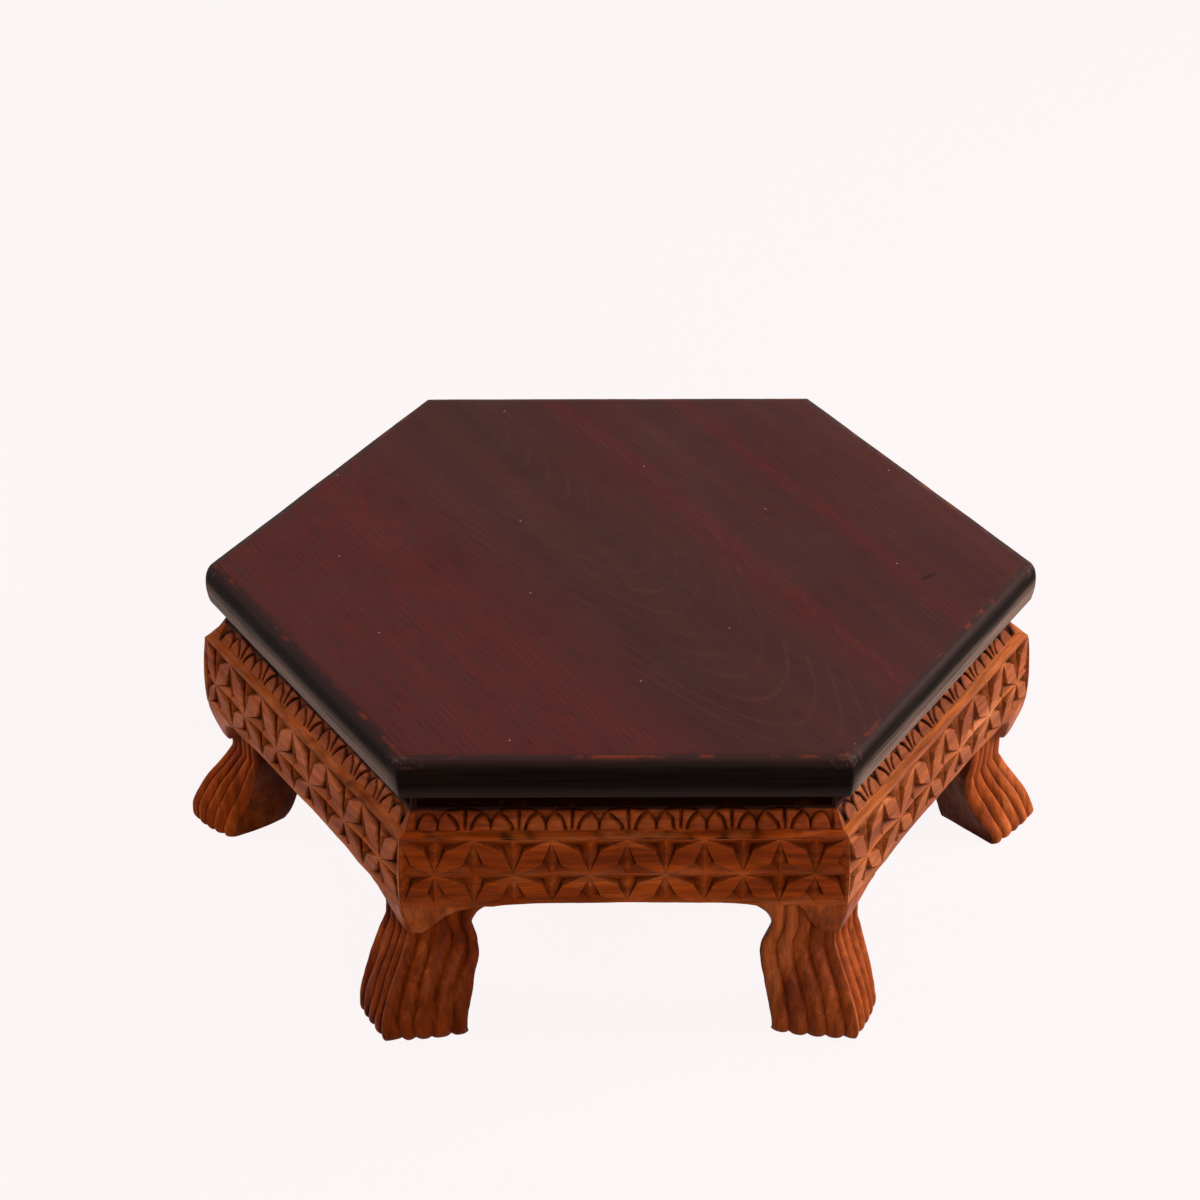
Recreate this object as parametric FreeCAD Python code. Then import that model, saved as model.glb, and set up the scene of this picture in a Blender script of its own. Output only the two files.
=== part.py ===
import FreeCAD, Part
import math
import os

# Bajot low table: a hexagonal top of three boards on a mitred, carved frame with six reeded legs.
# Millimetres. The origin is in the middle of the footprint, on the floor. X runs from corner to
# corner, and the side that faces the front is towards -Y.

# Whole table
table_height = 186.0
side_count = 6

# Top
top_across_corners = 508.0
top_thickness = 25.0
edge_shoulder_inset = 7.0
edge_shoulder_depth = 11.5
edge_underside_inset = 2.0
board_count = 3

# Dowels between the top boards
board_dowel_radius = 4.0
board_dowel_length = 40.0
board_dowels_per_seam = 4
board_dowel_spread_share = 0.71

# Rails, whose faces stand out a little past the top's edge; neck_height is the shaded band under the top
frame_stand_out = 0.5
rail_thickness = 30.0
rail_band_height = 44.0
rail_lower_hollow = 2.5
bead_height = 4.5
bead_inset = 7.0
bead_bulge = 1.4
groove_width = 1.2
groove_depth = 1.2
frieze_height = 9.5
frieze_lean_share = 0.685
neck_height = 13.8
neck_recess = 8.0
neck_corner_width = 8.0

# Carved stars on the band
stars_per_rail = 6
star_end_squeeze = 2.4
pit_depth = 4.5
ridge_depth = 1.0
petal_width_share = 0.43
petal_tip = 0.7
band_border = 0.8

# Arches on the frieze
arches_per_rail = 7
arch_depth = 1.6
arch_border = 0.9
spandrel_width_share = 0.6
spandrel_pole_shares = ((0.0, 0.6), (0.4, 0.85))

# Legs, which fill the height that the top and the rails leave
foot_splay = 11.0
neck_inset = 16.0
wing_length_neck = 36.5
wing_length_foot = 46.5
wing_tuck = 10.0
foot_depth = 57.5
heel_round_share = 0.22
heel_bulge = 3.0
reeds_per_wing = 4
corner_reed_share = 0.11
reed_depth_share = 0.16
bracket_radius = 11.0
bracket_setback = 6.4
bracket_overlap = 8.0

# Knee over each leg
knee_drop = 27.0
knee_inset = 9.2
knee_top_inset = 0.9
knee_run = 44.0
knee_thickness = 12.0
knee_bend_height_share = 0.42
knee_bend_inset_share = 0.3
knee_sweep_low_share = 0.52
knee_sweep_high_share = 0.6
knee_sweep_rise_share = 0.93

# Posts and frame dowels
post_width = 29.0
frame_dowel_radius = 4.0
frame_dowel_length = 26.0
frame_dowel_stagger = 10.0
frame_dowel_height_shares = (0.19, 0.54)

# Glue blocks and screws
block_length = 90.0
block_width = 24.0
block_height = 24.0
screw_spacing = 64.0
screw_radius = 2.0
screw_head_radius = 4.0
screw_head_height = 2.4
screw_bite = 11.0
screw_slot_width = 1.0
screw_slot_depth = 0.8

# Clearance at the end of each hole, and how far each cutter runs past what it cuts
hole_end_clearance = 1.0
overrun = 5.0

# Heights and planes that several pieces share
cos30 = math.cos(math.radians(30.0))
tan30 = math.tan(math.radians(30.0))
top_underside = table_height - top_thickness
top_flat_half = top_across_corners / 2 * cos30
frame_corner = top_across_corners / 2 + frame_stand_out
frame_across_corners = 2 * frame_corner
rail_face = frame_corner * cos30
rail_inner = rail_face - rail_thickness
rail_height = rail_band_height + bead_height + groove_width + frieze_height + neck_height
leg_height = top_underside - rail_height
band_top = leg_height + rail_band_height
bead_top = band_top + bead_height
frieze_foot = bead_top + groove_width
frieze_top = frieze_foot + frieze_height
frieze_foot_plane = rail_face - bead_inset - groove_width * frieze_lean_share
neck_plane = rail_inner + neck_recess
post_corner = rail_inner / cos30
frame_side = frame_corner

# Where each corner and each side lies, in turns of a sixth, counted from the one at the right or front
leg_names = ("leg_right", "leg_back_right", "leg_back_left", "leg_left", "leg_front_left", "leg_front_right")
side_names = ("front", "front_right", "back_right", "back", "back_left", "front_left")
board_names = ("top_board_left", "top_board_middle", "top_board_right")
sixth = 360.0 / side_count
board_angle = 30.0

# Each row of the leg: height, reach of its corner, spread of its wings, tuck of their ends, and heel
leg_row_shares = (
    (0.00, 0.94, 1.00, 1.00, 0.00),
    (0.08, 1.00, 1.00, 0.95, 0.17),
    (0.23, 0.82, 1.00, 0.65, 0.40),
    (0.38, 0.47, 0.70, 0.30, 0.57),
    (0.53, 0.18, 0.42, 0.20, 0.68),
    (0.66, 0.00, 0.12, 0.25, 0.77),
    (0.77, 0.03, 0.00, 0.30, 0.85),
    (0.89, 0.12, 0.05, 0.20, 0.93),
    (1.00, 0.22, 0.15, 0.10, 1.00),
)


def vec(x, y, z):
    return FreeCAD.Vector(x, y, z)


def turned(shape, degrees):
    """A copy of the shape turned about the table's upright axis."""
    copy = shape.copy()
    copy.rotate(vec(0, 0, 0), vec(0, 0, 1), degrees)
    return copy


def mirrored(shape):
    """A copy of the shape on the other side of the XZ plane."""
    return shape.mirror(vec(0, 0, 0), vec(0, 1, 0))


def line(start, end):
    return Part.makeLine(start, end)


def arc(start, middle, end):
    return Part.Arc(start, middle, end).toShape()


def box_between(low, high):
    return Part.makeBox(high[0] - low[0], high[1] - low[1], high[2] - low[2], vec(*low))


def save(shape, name):
    shape.exportStep("parts/" + name + ".step")


def edge_profile_prism():
    """The top's section across two opposite sides, run along those sides."""
    half = top_flat_half
    run = top_across_corners
    points = {}
    for side in (-1, 1):
        flat = vec(-run, side * (half - edge_shoulder_inset), table_height)
        widest = vec(-run, side * half, table_height - edge_shoulder_depth)
        under = vec(-run, side * (half - edge_underside_inset), top_underside)
        points[side] = (flat, widest, under)
    edges = [line(points[-1][0], points[1][0])]
    for side in (1, -1):
        flat, widest, under = points[side]
        # Each stretch is an arc that stands upright where the top is widest
        shoulder_radius = (edge_shoulder_inset ** 2 + edge_shoulder_depth ** 2) / (2 * edge_shoulder_inset)
        lower_depth = top_thickness - edge_shoulder_depth
        lower_radius = (edge_underside_inset ** 2 + lower_depth ** 2) / (2 * edge_underside_inset)
        upper_mid = arc_middle(widest, side, shoulder_radius, edge_shoulder_depth / 2)
        lower_mid = arc_middle(widest, side, lower_radius, -lower_depth / 2)
        edges.append(arc(flat, upper_mid, widest))
        edges.append(arc(widest, lower_mid, under))
    edges.append(line(points[-1][2], points[1][2]))
    face = Part.Face(Part.Wire(Part.__sortEdges__(edges)))
    return face.extrude(vec(2 * run, 0, 0))


def arc_middle(widest, side, radius, rise):
    """A point of the edge's arc, at a rise above or below its widest line."""
    inset = radius - math.sqrt(radius ** 2 - rise ** 2)
    return vec(widest.x, widest.y - side * inset, widest.z + rise)


def top_slab():
    prism = edge_profile_prism()
    slab = prism
    for step in (1, 2):
        slab = slab.common(turned(prism, step * sixth))
    return slab


def board_width():
    return 2 * top_flat_half / board_count


def seam_offsets():
    return [(index + 1) * board_width() - top_flat_half for index in range(board_count - 1)]


def seam_places(offset):
    """Where the dowels of a seam lie along it."""
    half_seam = (top_across_corners / 2 - abs(offset) * tan30) * board_dowel_spread_share
    step = 2 * half_seam / (board_dowels_per_seam - 1)
    return [index * step - half_seam for index in range(board_dowels_per_seam)]


def board_dowels(end_clearance):
    """Dowels across the seams, or the holes for them with a clearance at each end."""
    length = board_dowel_length + 2 * end_clearance
    height = table_height - top_thickness / 2
    dowels = []
    for offset in seam_offsets():
        for place in seam_places(offset):
            start = vec(offset - length / 2, place, height)
            dowels.append(turned(Part.makeCylinder(board_dowel_radius, length, start, vec(1, 0, 0)), board_angle))
    return dowels


def screw_places():
    """Screw axes behind the front rail."""
    middle = -(rail_inner - block_width / 2)
    return [(side * screw_spacing / 2, middle) for side in (-1, 1)]


def screw_shape(x, y, end_clearance):
    """A countersunk screw with its head at the block's lower face, or the hole for it."""
    foot = top_underside - block_height
    length = block_height + screw_bite + end_clearance
    shank = Part.makeCylinder(screw_radius, length, vec(x, y, foot))
    head = Part.makeCone(screw_head_radius, screw_radius, screw_head_height, vec(x, y, foot))
    return shank.fuse(head)


def screw_slot(x, y):
    foot = top_underside - block_height
    low = (x - screw_head_radius, y - screw_slot_width / 2, foot - overrun)
    high = (x + screw_head_radius, y + screw_slot_width / 2, foot + screw_slot_depth)
    return box_between(low, high)


def around_table(shapes):
    """Copies of the front rail's shapes for all six sides."""
    return [turned(shape, step * sixth) for step in range(side_count) for shape in shapes]


def make_top_boards():
    holes = board_dowels(hole_end_clearance)
    holes += around_table([screw_shape(x, y, hole_end_clearance) for x, y in screw_places()])
    slab = top_slab().cut(holes)
    reach = top_across_corners
    for index, name in enumerate(board_names):
        low_side = -reach if index == 0 else seam_offsets()[index - 1]
        high_side = reach if index == board_count - 1 else seam_offsets()[index]
        strip = box_between((low_side, -reach, top_underside - overrun), (high_side, reach, table_height + overrun))
        board = slab.common(turned(strip, board_angle))
        save(Part.makeCompound(board.Solids), name)


def make_board_dowels():
    save(Part.makeCompound(board_dowels(0)), "board_dowels")


def lean_plane(height):
    """How far out the leaning frieze stands at a height."""
    return frieze_foot_plane - (height - frieze_foot) * frieze_lean_share


def rail_blank():
    """The rail's moulded section run along the front, with both ends mitred."""
    run = frame_side
    bead_plane = rail_face - bead_inset
    corners = (
        (rail_inner, leg_height),
        (rail_face, leg_height),
        (rail_face, band_top),
        (bead_plane, bead_top),
        (bead_plane - groove_depth, bead_top + groove_width / 2),
        (frieze_foot_plane, frieze_foot),
        (lean_plane(top_underside), top_underside),
        (rail_inner, top_underside),
    )
    points = [vec(-run, -plane, height) for plane, height in corners]
    bead_start = 2
    edges = []
    for index, point in enumerate(points):
        following = points[(index + 1) % len(points)]
        if index == bead_start:
            middle = (point + following) * 0.5
            outward = vec(0, -bead_height, bead_inset).normalize()
            edges.append(arc(point, middle + outward * bead_bulge, following))
        else:
            edges.append(line(point, following))
    blank = Part.Face(Part.Wire(edges)).extrude(vec(2 * run, 0, 0))
    low = leg_height - overrun
    reach = frame_across_corners
    wedge_points = [vec(0, 0, low), vec(-reach * tan30, -reach, low), vec(reach * tan30, -reach, low)]
    wedge = Part.Face(Part.makePolygon(wedge_points + wedge_points[:1]))
    return blank.common(wedge.extrude(vec(0, 0, rail_height + 2 * overrun)))


def neck_cutter():
    """The shaded recess under the top, stopped short of each corner."""
    half = lean_plane(frieze_top) * tan30 - neck_corner_width
    low = (-half, -(rail_face + overrun), frieze_top)
    high = (half, -neck_plane, top_underside + overrun)
    return box_between(low, high)


def lower_edge_cutter():
    """The slight hollow of the rail's lower edge between the two brackets."""
    half = bracket_end()
    back = -(rail_inner - overrun)
    left = vec(-half, back, leg_height)
    right = vec(half, back, leg_height)
    crown = vec(0, back, leg_height + rail_lower_hollow)
    face = Part.Face(Part.Wire([arc(left, crown, right), line(right, left)]))
    return face.extrude(vec(0, -(rail_thickness + 2 * overrun), 0))


def pit(ring, fan):
    """A stop-cut pit in the band: upright walls round a ring, and facets that rise to one point.

    The ring and the point hold places along the rail, heights and depths below the band's face."""
    mouths = [vec(x, -(rail_face + overrun), z) for x, z, depth in ring]
    floors = [vec(x, -(rail_face - depth), z) for x, z, depth in ring]
    peak = vec(fan[0], -(rail_face - fan[2]), fan[1])
    faces = [Part.Face(Part.makePolygon(mouths + mouths[:1]))]
    count = len(ring)
    for index in range(count):
        after = (index + 1) % count
        wall = [mouths[index], mouths[after], floors[after], floors[index], mouths[index]]
        faces.append(Part.Face(Part.makePolygon(wall)))
        if fan not in (ring[index], ring[after]):
            facet = [floors[index], floors[after], peak, floors[index]]
            faces.append(Part.Face(Part.makePolygon(facet)))
    solid = Part.makeSolid(Part.makeShell(faces))
    if solid.Volume < 0:
        solid.reverse()
    return solid


def star_centres():
    """The middles of the stars. The outer half of each end star is squeezed to fit the corner."""
    pitch = (frame_side + 2 * star_end_squeeze) / stars_per_rail
    first = -pitch * (stars_per_rail - 1) / 2
    return [first + index * pitch for index in range(stars_per_rail)]


def star_pits():
    """Pits between the petals: diamonds between stars, and a triangle above and below each."""
    centres = star_centres()
    half_cell = (centres[1] - centres[0]) / 2
    end_share = (frame_side / 2 - band_border - centres[-1]) / half_cell
    middle = leg_height + rail_band_height / 2
    half_height = rail_band_height / 2 - band_border
    half_diagonal = math.hypot(half_cell, half_height) / 2
    across = petal_width_share * half_diagonal
    lean_x = half_height / (2 * half_diagonal) * across
    lean_z = half_cell / (2 * half_diagonal) * across
    side_point = (half_cell / 2 + lean_x, half_height / 2 - lean_z)
    upper_point = (half_cell / 2 - lean_x, half_height / 2 + lean_z)
    pits = []
    for centre in centres:
        left = end_share if centre == centres[0] else 1
        right = end_share if centre == centres[-1] else 1
        for up in (-1, 1):
            ring = [
                (centre, middle + up * petal_tip, 0),
                (centre + right * upper_point[0], middle + up * upper_point[1], pit_depth),
                (centre + right * (half_cell - petal_tip), middle + up * half_height, 0),
                (centre, middle + up * half_height, ridge_depth),
                (centre - left * (half_cell - petal_tip), middle + up * half_height, 0),
                (centre - left * upper_point[0], middle + up * upper_point[1], pit_depth),
            ]
            pits.append(pit(ring, ring[3]))
    for left, right in zip(centres, centres[1:]):
        edge = (left + right) / 2
        ring = [
            (left + petal_tip, middle, 0),
            (left + side_point[0], middle + side_point[1], pit_depth),
            (edge, middle + half_height - petal_tip, 0),
            (right - side_point[0], middle + side_point[1], pit_depth),
            (right - petal_tip, middle, 0),
            (right - side_point[0], middle - side_point[1], pit_depth),
            (edge, middle - half_height + petal_tip, 0),
            (left + side_point[0], middle - side_point[1], pit_depth),
        ]
        pits.append(pit(ring, (edge, middle, ridge_depth)))
    for side, last in ((-1, centres[0]), (1, centres[-1])):
        edge = side * (frame_side / 2 - band_border)
        shoulder = last + side * side_point[0] * end_share
        ring = [
            (last + side * petal_tip, middle, 0),
            (shoulder, middle + side_point[1], pit_depth),
            (edge, middle + half_height - petal_tip, 0),
            (edge, middle, ridge_depth),
            (edge, middle - half_height + petal_tip, 0),
            (shoulder, middle - side_point[1], pit_depth),
        ]
        pits.append(pit(ring, ring[3]))
    return pits


def spandrel_side(place, width):
    """One curved side of a sunk corner, from its foot to its head, on the leaning frieze."""
    foot = frieze_foot + arch_border
    rise = frieze_height - 2 * arch_border
    poles = []
    for across, up in ((0, 0), *spandrel_pole_shares, (1, 1)):
        height = foot + up * rise
        poles.append(vec(place + across * width, -lean_plane(height), height))
    curve = Part.BezierCurve()
    curve.setPoles(poles)
    return curve.toShape()


def arch_spandrels():
    """Sunk corners between the round arches along the frieze."""
    pitch = frieze_foot_plane * tan30 * 2 / (arches_per_rail + 1)
    width = pitch / 2 * spandrel_width_share
    head = frieze_top - arch_border
    cutters = []
    normal = vec(0, 1, -frieze_lean_share).normalize()
    for index in range(arches_per_rail + 1):
        place = (index - arches_per_rail / 2) * pitch
        left = vec(place - width, -lean_plane(head), head)
        right = vec(place + width, -lean_plane(head), head)
        edges = [spandrel_side(place, width), line(right, left), spandrel_side(place, -width)]
        face = Part.Face(Part.Wire(Part.__sortEdges__(edges)))
        face.translate(normal * -overrun)
        cutters.append(face.extrude(normal * (overrun + arch_depth)))
    return cutters


def frame_dowels(end_clearance):
    """Dowels from the front rail's two ends into the posts behind, or the holes for them."""
    length = frame_dowel_length + 2 * end_clearance
    middle = rail_inner * tan30 - post_width / 2
    dowels = []
    for side in (-1, 1):
        for share in frame_dowel_height_shares:
            height = leg_height + share * rail_height + (side + 1) / 2 * frame_dowel_stagger
            start = vec(side * middle, -(rail_inner - length / 2), height)
            dowels.append(Part.makeCylinder(frame_dowel_radius, length, start, vec(0, -1, 0)))
    return dowels


def make_rails():
    cutters = [neck_cutter(), lower_edge_cutter()]
    cutters += star_pits()
    cutters += arch_spandrels()
    cutters += frame_dowels(hole_end_clearance)
    rail = rail_blank().cut(cutters)
    for step, side in enumerate(side_names):
        save(turned(rail, step * sixth), "rail_" + side)


def make_frame_dowels():
    save(Part.makeCompound(around_table(frame_dowels(0))), "frame_dowels")


def wing_point(share, corner, wing, tuck, depth):
    """A point of the wing's outer line, in plan, from the leg's corner to the wing's end."""
    along = wing * share
    inward = tuck * share ** 2 + depth
    return (corner - along * 0.5 - inward * cos30, along * cos30 - inward * 0.5)


def leg_section(height, corner, wing, tuck, heel):
    """The leg's closed outline at one height: reeds round both wings, then the plain heel."""
    reed = (1 - corner_reed_share) / reeds_per_wing
    depth = reed * wing * reed_depth_share
    grooves = [corner_reed_share + index * reed for index in range(reeds_per_wing + 1)]
    points = [wing_point(share, corner, wing, tuck, depth) for share in grooves]
    crests = [wing_point(share + reed / 2, corner, wing, tuck, 0) for share in grooves[:-1]]

    def spot(plan, side):
        return vec(plan[0], side * plan[1], height)

    edges = [arc(spot(points[0], -1), vec(corner, 0, height), spot(points[0], 1))]
    for side in (1, -1):
        for index, crest in enumerate(crests):
            edges.append(arc(spot(points[index], side), spot(crest, side), spot(points[index + 1], side)))
    end = points[-1]
    tail = (heel + (end[0] - heel) * heel_round_share, end[1] * heel_round_share)
    length = math.hypot(end[0] - tail[0], end[1] - tail[1])
    outward = (-(end[1] - tail[1]) / length, (end[0] - tail[0]) / length)
    belly = ((end[0] + tail[0]) / 2 + outward[0] * heel_bulge, (end[1] + tail[1]) / 2 + outward[1] * heel_bulge)
    for side in (1, -1):
        edges.append(arc(spot(end, side), spot(belly, side), spot(tail, side)))
    edges.append(arc(spot(tail, 1), vec(heel, 0, height), spot(tail, -1)))
    return Part.Wire(Part.__sortEdges__(edges))


def leg_body():
    neck = frame_corner - neck_inset
    foot = frame_corner + foot_splay
    heel_floor = foot - foot_depth
    heel_top = post_corner - post_width
    sections = []
    for rise, reach, spread, tuck, heel in leg_row_shares:
        corner = neck + (foot - neck) * reach
        wing = wing_length_neck + (wing_length_foot - wing_length_neck) * spread
        inner = heel_floor + (heel_top - heel_floor) * heel
        sections.append(leg_section(rise * leg_height, corner, wing, tuck * wing_tuck, inner))
    return Part.makeLoft(sections, True, False)


def bracket_end():
    """How far from the rail's middle the brackets reach."""
    return frame_side / 2 - bracket_start() - bracket_radius


def bracket_start():
    """How far from the frame's corner the neck of the leg reaches, along the rail."""
    top_row = leg_row_shares[-1]
    corner = frame_corner - neck_inset + (foot_splay + neck_inset) * top_row[1]
    wing = wing_length_neck + (wing_length_foot - wing_length_neck) * top_row[2]
    return (frame_corner - corner) / 2 + wing


def bracket():
    """The small quarter-round bracket between the leg's neck and the rail, on the front's right."""
    end = bracket_end()
    face = rail_face - bracket_setback
    low = (end, -face, leg_height - bracket_radius)
    high = (end + bracket_radius + bracket_overlap, -(rail_inner + bracket_overlap), leg_height)
    centre = vec(end, -(face + overrun), leg_height - bracket_radius)
    length = rail_thickness + 2 * overrun
    return box_between(low, high).cut(Part.makeCylinder(bracket_radius, length, centre, vec(0, 1, 0)))


def knee():
    """The plain smooth cap of the leg's front wing, on the front's right."""
    bottom = leg_height - knee_drop
    back = rail_face - knee_inset - knee_thickness
    bend_plane = rail_face - knee_top_inset - (knee_inset - knee_top_inset) * knee_bend_inset_share
    edges = [
        line(vec(0, -back, leg_height), vec(0, -(rail_face - knee_top_inset), leg_height)),
        arc(
            vec(0, -(rail_face - knee_top_inset), leg_height),
            vec(0, -bend_plane, leg_height - knee_drop * knee_bend_height_share),
            vec(0, -(rail_face - knee_inset), bottom),
        ),
        line(vec(0, -(rail_face - knee_inset), bottom), vec(0, -back, bottom)),
        line(vec(0, -back, bottom), vec(0, -back, leg_height)),
    ]
    cap = Part.Face(Part.Wire(edges)).extrude(vec(frame_side, 0, 0))
    low = bottom - overrun
    reach = frame_across_corners
    wedge_points = [vec(0, 0, low), vec(0, -reach, low), vec(reach * tan30, -reach, low)]
    wedge = Part.Face(Part.makePolygon(wedge_points + wedge_points[:1])).extrude(vec(0, 0, knee_drop + 2 * overrun))
    return cap.common(wedge).cut(knee_sweep())


def knee_sweep():
    """What lies under the knee's curved lower edge, swept through the wing."""
    bottom = leg_height - knee_drop
    corner = frame_side / 2
    tip = corner - knee_run
    rise = bottom + knee_drop * knee_sweep_rise_share
    front = -(rail_face + overrun)
    curve = Part.BezierCurve()
    curve.setPoles([
        vec(corner, front, bottom),
        vec(corner - knee_run * knee_sweep_low_share, front, bottom),
        vec(corner - knee_run * knee_sweep_high_share, front, rise),
        vec(tip, front, leg_height),
    ])
    low = bottom - overrun
    edges = [
        curve.toShape(),
        line(vec(tip, front, leg_height), vec(tip, front, leg_height + overrun)),
        line(vec(tip, front, leg_height + overrun), vec(0, front, leg_height + overrun)),
        line(vec(0, front, leg_height + overrun), vec(0, front, low)),
        line(vec(0, front, low), vec(corner, front, low)),
        line(vec(corner, front, low), vec(corner, front, bottom)),
    ]
    face = Part.Face(Part.Wire(edges))
    return face.extrude(vec(0, knee_thickness + knee_inset + 2 * overrun, 0))


def post():
    """The upright post behind the mitre, on the leg at the right."""
    low = leg_height - knee_drop
    half = post_width * cos30
    plan = [(post_corner, 0), (post_corner - post_width / 2, half), (post_corner - post_width, 0)]
    plan.append((post_corner - post_width / 2, -half))
    points = [vec(x, y, low) for x, y in plan]
    face = Part.Face(Part.makePolygon(points + points[:1]))
    return face.extrude(vec(0, 0, top_underside - low))


def make_legs():
    front_parts = [bracket(), knee()]
    right_parts = [turned(shape, sixth) for shape in front_parts]
    leg = leg_body().fuse([post()] + right_parts + [mirrored(shape) for shape in right_parts])
    holes = frame_dowels(hole_end_clearance)
    per_end = len(frame_dowel_height_shares)
    leg = leg.cut([turned(hole, 2 * sixth) for hole in holes[:per_end]])
    leg = leg.cut([turned(hole, sixth) for hole in holes[per_end:]])
    for step, name in enumerate(leg_names):
        save(turned(leg, step * sixth), name)


def make_glue_blocks():
    low = (-block_length / 2, -rail_inner, top_underside - block_height)
    high = (block_length / 2, -(rail_inner - block_width), top_underside)
    block = box_between(low, high).cut([screw_shape(x, y, 0) for x, y in screw_places()])
    for step, side in enumerate(side_names):
        save(turned(block, step * sixth), "glue_block_" + side)


def make_top_screws():
    screws = [screw_shape(x, y, 0).cut(screw_slot(x, y)) for x, y in screw_places()]
    save(Part.makeCompound(around_table(screws)), "top_screws")


os.makedirs("parts", exist_ok=True)
make_top_boards()
make_board_dowels()
make_rails()
make_frame_dowels()
make_legs()
make_glue_blocks()
make_top_screws()
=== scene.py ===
import math
import random

import bmesh
import bpy
import numpy as np
from mathutils import Matrix, Vector, noise
from mathutils.geometry import delaunay_2d_cdt


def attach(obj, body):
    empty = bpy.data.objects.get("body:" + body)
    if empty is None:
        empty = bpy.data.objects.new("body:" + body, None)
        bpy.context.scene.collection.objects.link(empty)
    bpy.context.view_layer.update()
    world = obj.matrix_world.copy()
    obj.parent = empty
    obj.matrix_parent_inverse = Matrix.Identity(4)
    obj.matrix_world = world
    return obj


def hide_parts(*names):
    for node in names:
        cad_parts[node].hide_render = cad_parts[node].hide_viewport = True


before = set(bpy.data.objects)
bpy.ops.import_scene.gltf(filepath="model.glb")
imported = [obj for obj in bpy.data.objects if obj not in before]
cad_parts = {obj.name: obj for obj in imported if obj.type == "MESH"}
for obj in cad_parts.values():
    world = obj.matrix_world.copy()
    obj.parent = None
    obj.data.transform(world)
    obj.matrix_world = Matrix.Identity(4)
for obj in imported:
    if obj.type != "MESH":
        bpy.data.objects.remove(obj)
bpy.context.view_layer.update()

# Camera
# The low table is seen from the front and from above, as a person who stands before it sees it.
mm = 0.001
camera_rise = 0.537346
camera_turn = -0.005121
camera_distance = 2208.98 * mm
camera_aim = Vector((-12.768, 0, 159.412)) * mm
camera_back = Vector((
    math.sin(camera_turn) * math.cos(camera_rise),
    -math.cos(camera_turn) * math.cos(camera_rise),
    math.sin(camera_rise),
))
camera_data = bpy.data.cameras.new("camera")
camera_data.sensor_width = 36
camera_data.lens = 108.58
camera_data.clip_end = 100
camera = bpy.data.objects.new("camera", camera_data)
camera.location = camera_aim + camera_back * camera_distance
camera.rotation_euler = (math.pi / 2 - camera_rise, 0, camera_turn)
bpy.context.collection.objects.link(camera)
bpy.context.scene.camera = camera
bpy.context.scene.view_settings.view_transform = "Standard"


# Floor and light
# A plain pale sheet lies under the table. A large soft lamp stands on the right, weaker ones on the
# left and in front, and the pale room fills the rest.
class Amount:
    """A number, place or colour in a node tree. Arithmetic with it adds the node that works it out."""

    def __init__(self, tree, source):
        self.tree = tree
        self.source = source

    def through(self, kind, inputs, **settings):
        """What a further node in the same tree gives."""
        return Amount(self.tree, node(self.tree, kind, inputs, **settings))

    def __add__(self, other):
        return figure(self.tree, "ADD", self, other)

    def __sub__(self, other):
        return figure(self.tree, "SUBTRACT", self, other)

    def __rsub__(self, other):
        return figure(self.tree, "SUBTRACT", other, self)

    def __mul__(self, other):
        return figure(self.tree, "MULTIPLY", self, other)

    def __truediv__(self, other):
        return figure(self.tree, "DIVIDE", self, other)


def node(tree, kind, inputs=(), **settings):
    """Adds a node, sets its options, then fills or links its inputs, called by name or number."""
    made = tree.nodes.new(kind)
    for option, value in settings.items():
        setattr(made, option, value)
    for socket, value in dict(inputs).items():
        if isinstance(value, Amount):
            value = value.source
        if isinstance(value, bpy.types.Node):
            value = next(output for output in value.outputs if output.enabled)
        if isinstance(value, bpy.types.NodeSocket):
            tree.links.new(value, made.inputs[socket])
        else:
            made.inputs[socket].default_value = value
    return made


def figure(tree, operation, *values, clamp=False):
    """One maths operation on its values in order."""
    made = node(tree, "ShaderNodeMath", enumerate(values), operation=operation, use_clamp=clamp)
    return Amount(tree, made)


def linear(code):
    """A six-digit sRGB colour code as the linear colour that a shader takes."""
    parts = [int(code[place:place + 2], 16) / 255 for place in (1, 3, 5)]
    return (*[part / 12.92 if part <= 0.04045 else ((part + 0.055) / 1.055) ** 2.4 for part in parts], 1)


def new_material(name):
    """A material with an empty node tree, and the tree."""
    material = bpy.data.materials.new(name)
    material.use_nodes = True
    material.node_tree.nodes.clear()
    return material, material.node_tree


def seen_directly(tree):
    """1 where the camera, a glossy surface or glass looks, and 0 where light only falls."""
    rays = node(tree, "ShaderNodeLightPath").outputs
    seen = figure(tree, "MAXIMUM", rays["Is Camera Ray"], rays["Is Glossy Ray"])
    return figure(tree, "MAXIMUM", seen, rays["Is Transmission Ray"])


def linked(name, data):
    """A new object in the scene."""
    thing = bpy.data.objects.new(name, data)
    bpy.context.collection.objects.link(thing)
    return thing


pale = linear("#FCF6F6")
# Matt pale sheet: the camera and glossy wood see the pale room's colour there, with a soft shadow on it
sheet_finish, tree = new_material("pale_matt_sheet")
matt = node(tree, "ShaderNodeBsdfDiffuse", {"Color": linear("#8E8989")})
glow = node(tree, "ShaderNodeEmission", {"Color": pale, "Strength": 1.05})
both = node(tree, "ShaderNodeMixShader", {0: seen_directly(tree) * 0.93, 1: matt, 2: glow})
node(tree, "ShaderNodeOutputMaterial", {"Surface": both})
floor_half = 9
floor_corners = [(x * floor_half, y * floor_half, 0) for x, y in ((-1, -1), (1, -1), (1, 1), (-1, 1))]
floor_mesh = bpy.data.meshes.new("floor")
floor_mesh.from_pydata(floor_corners, [], [(0, 1, 2, 3)])
floor_mesh.materials.append(sheet_finish)
floor = linked("floor", floor_mesh)

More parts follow.
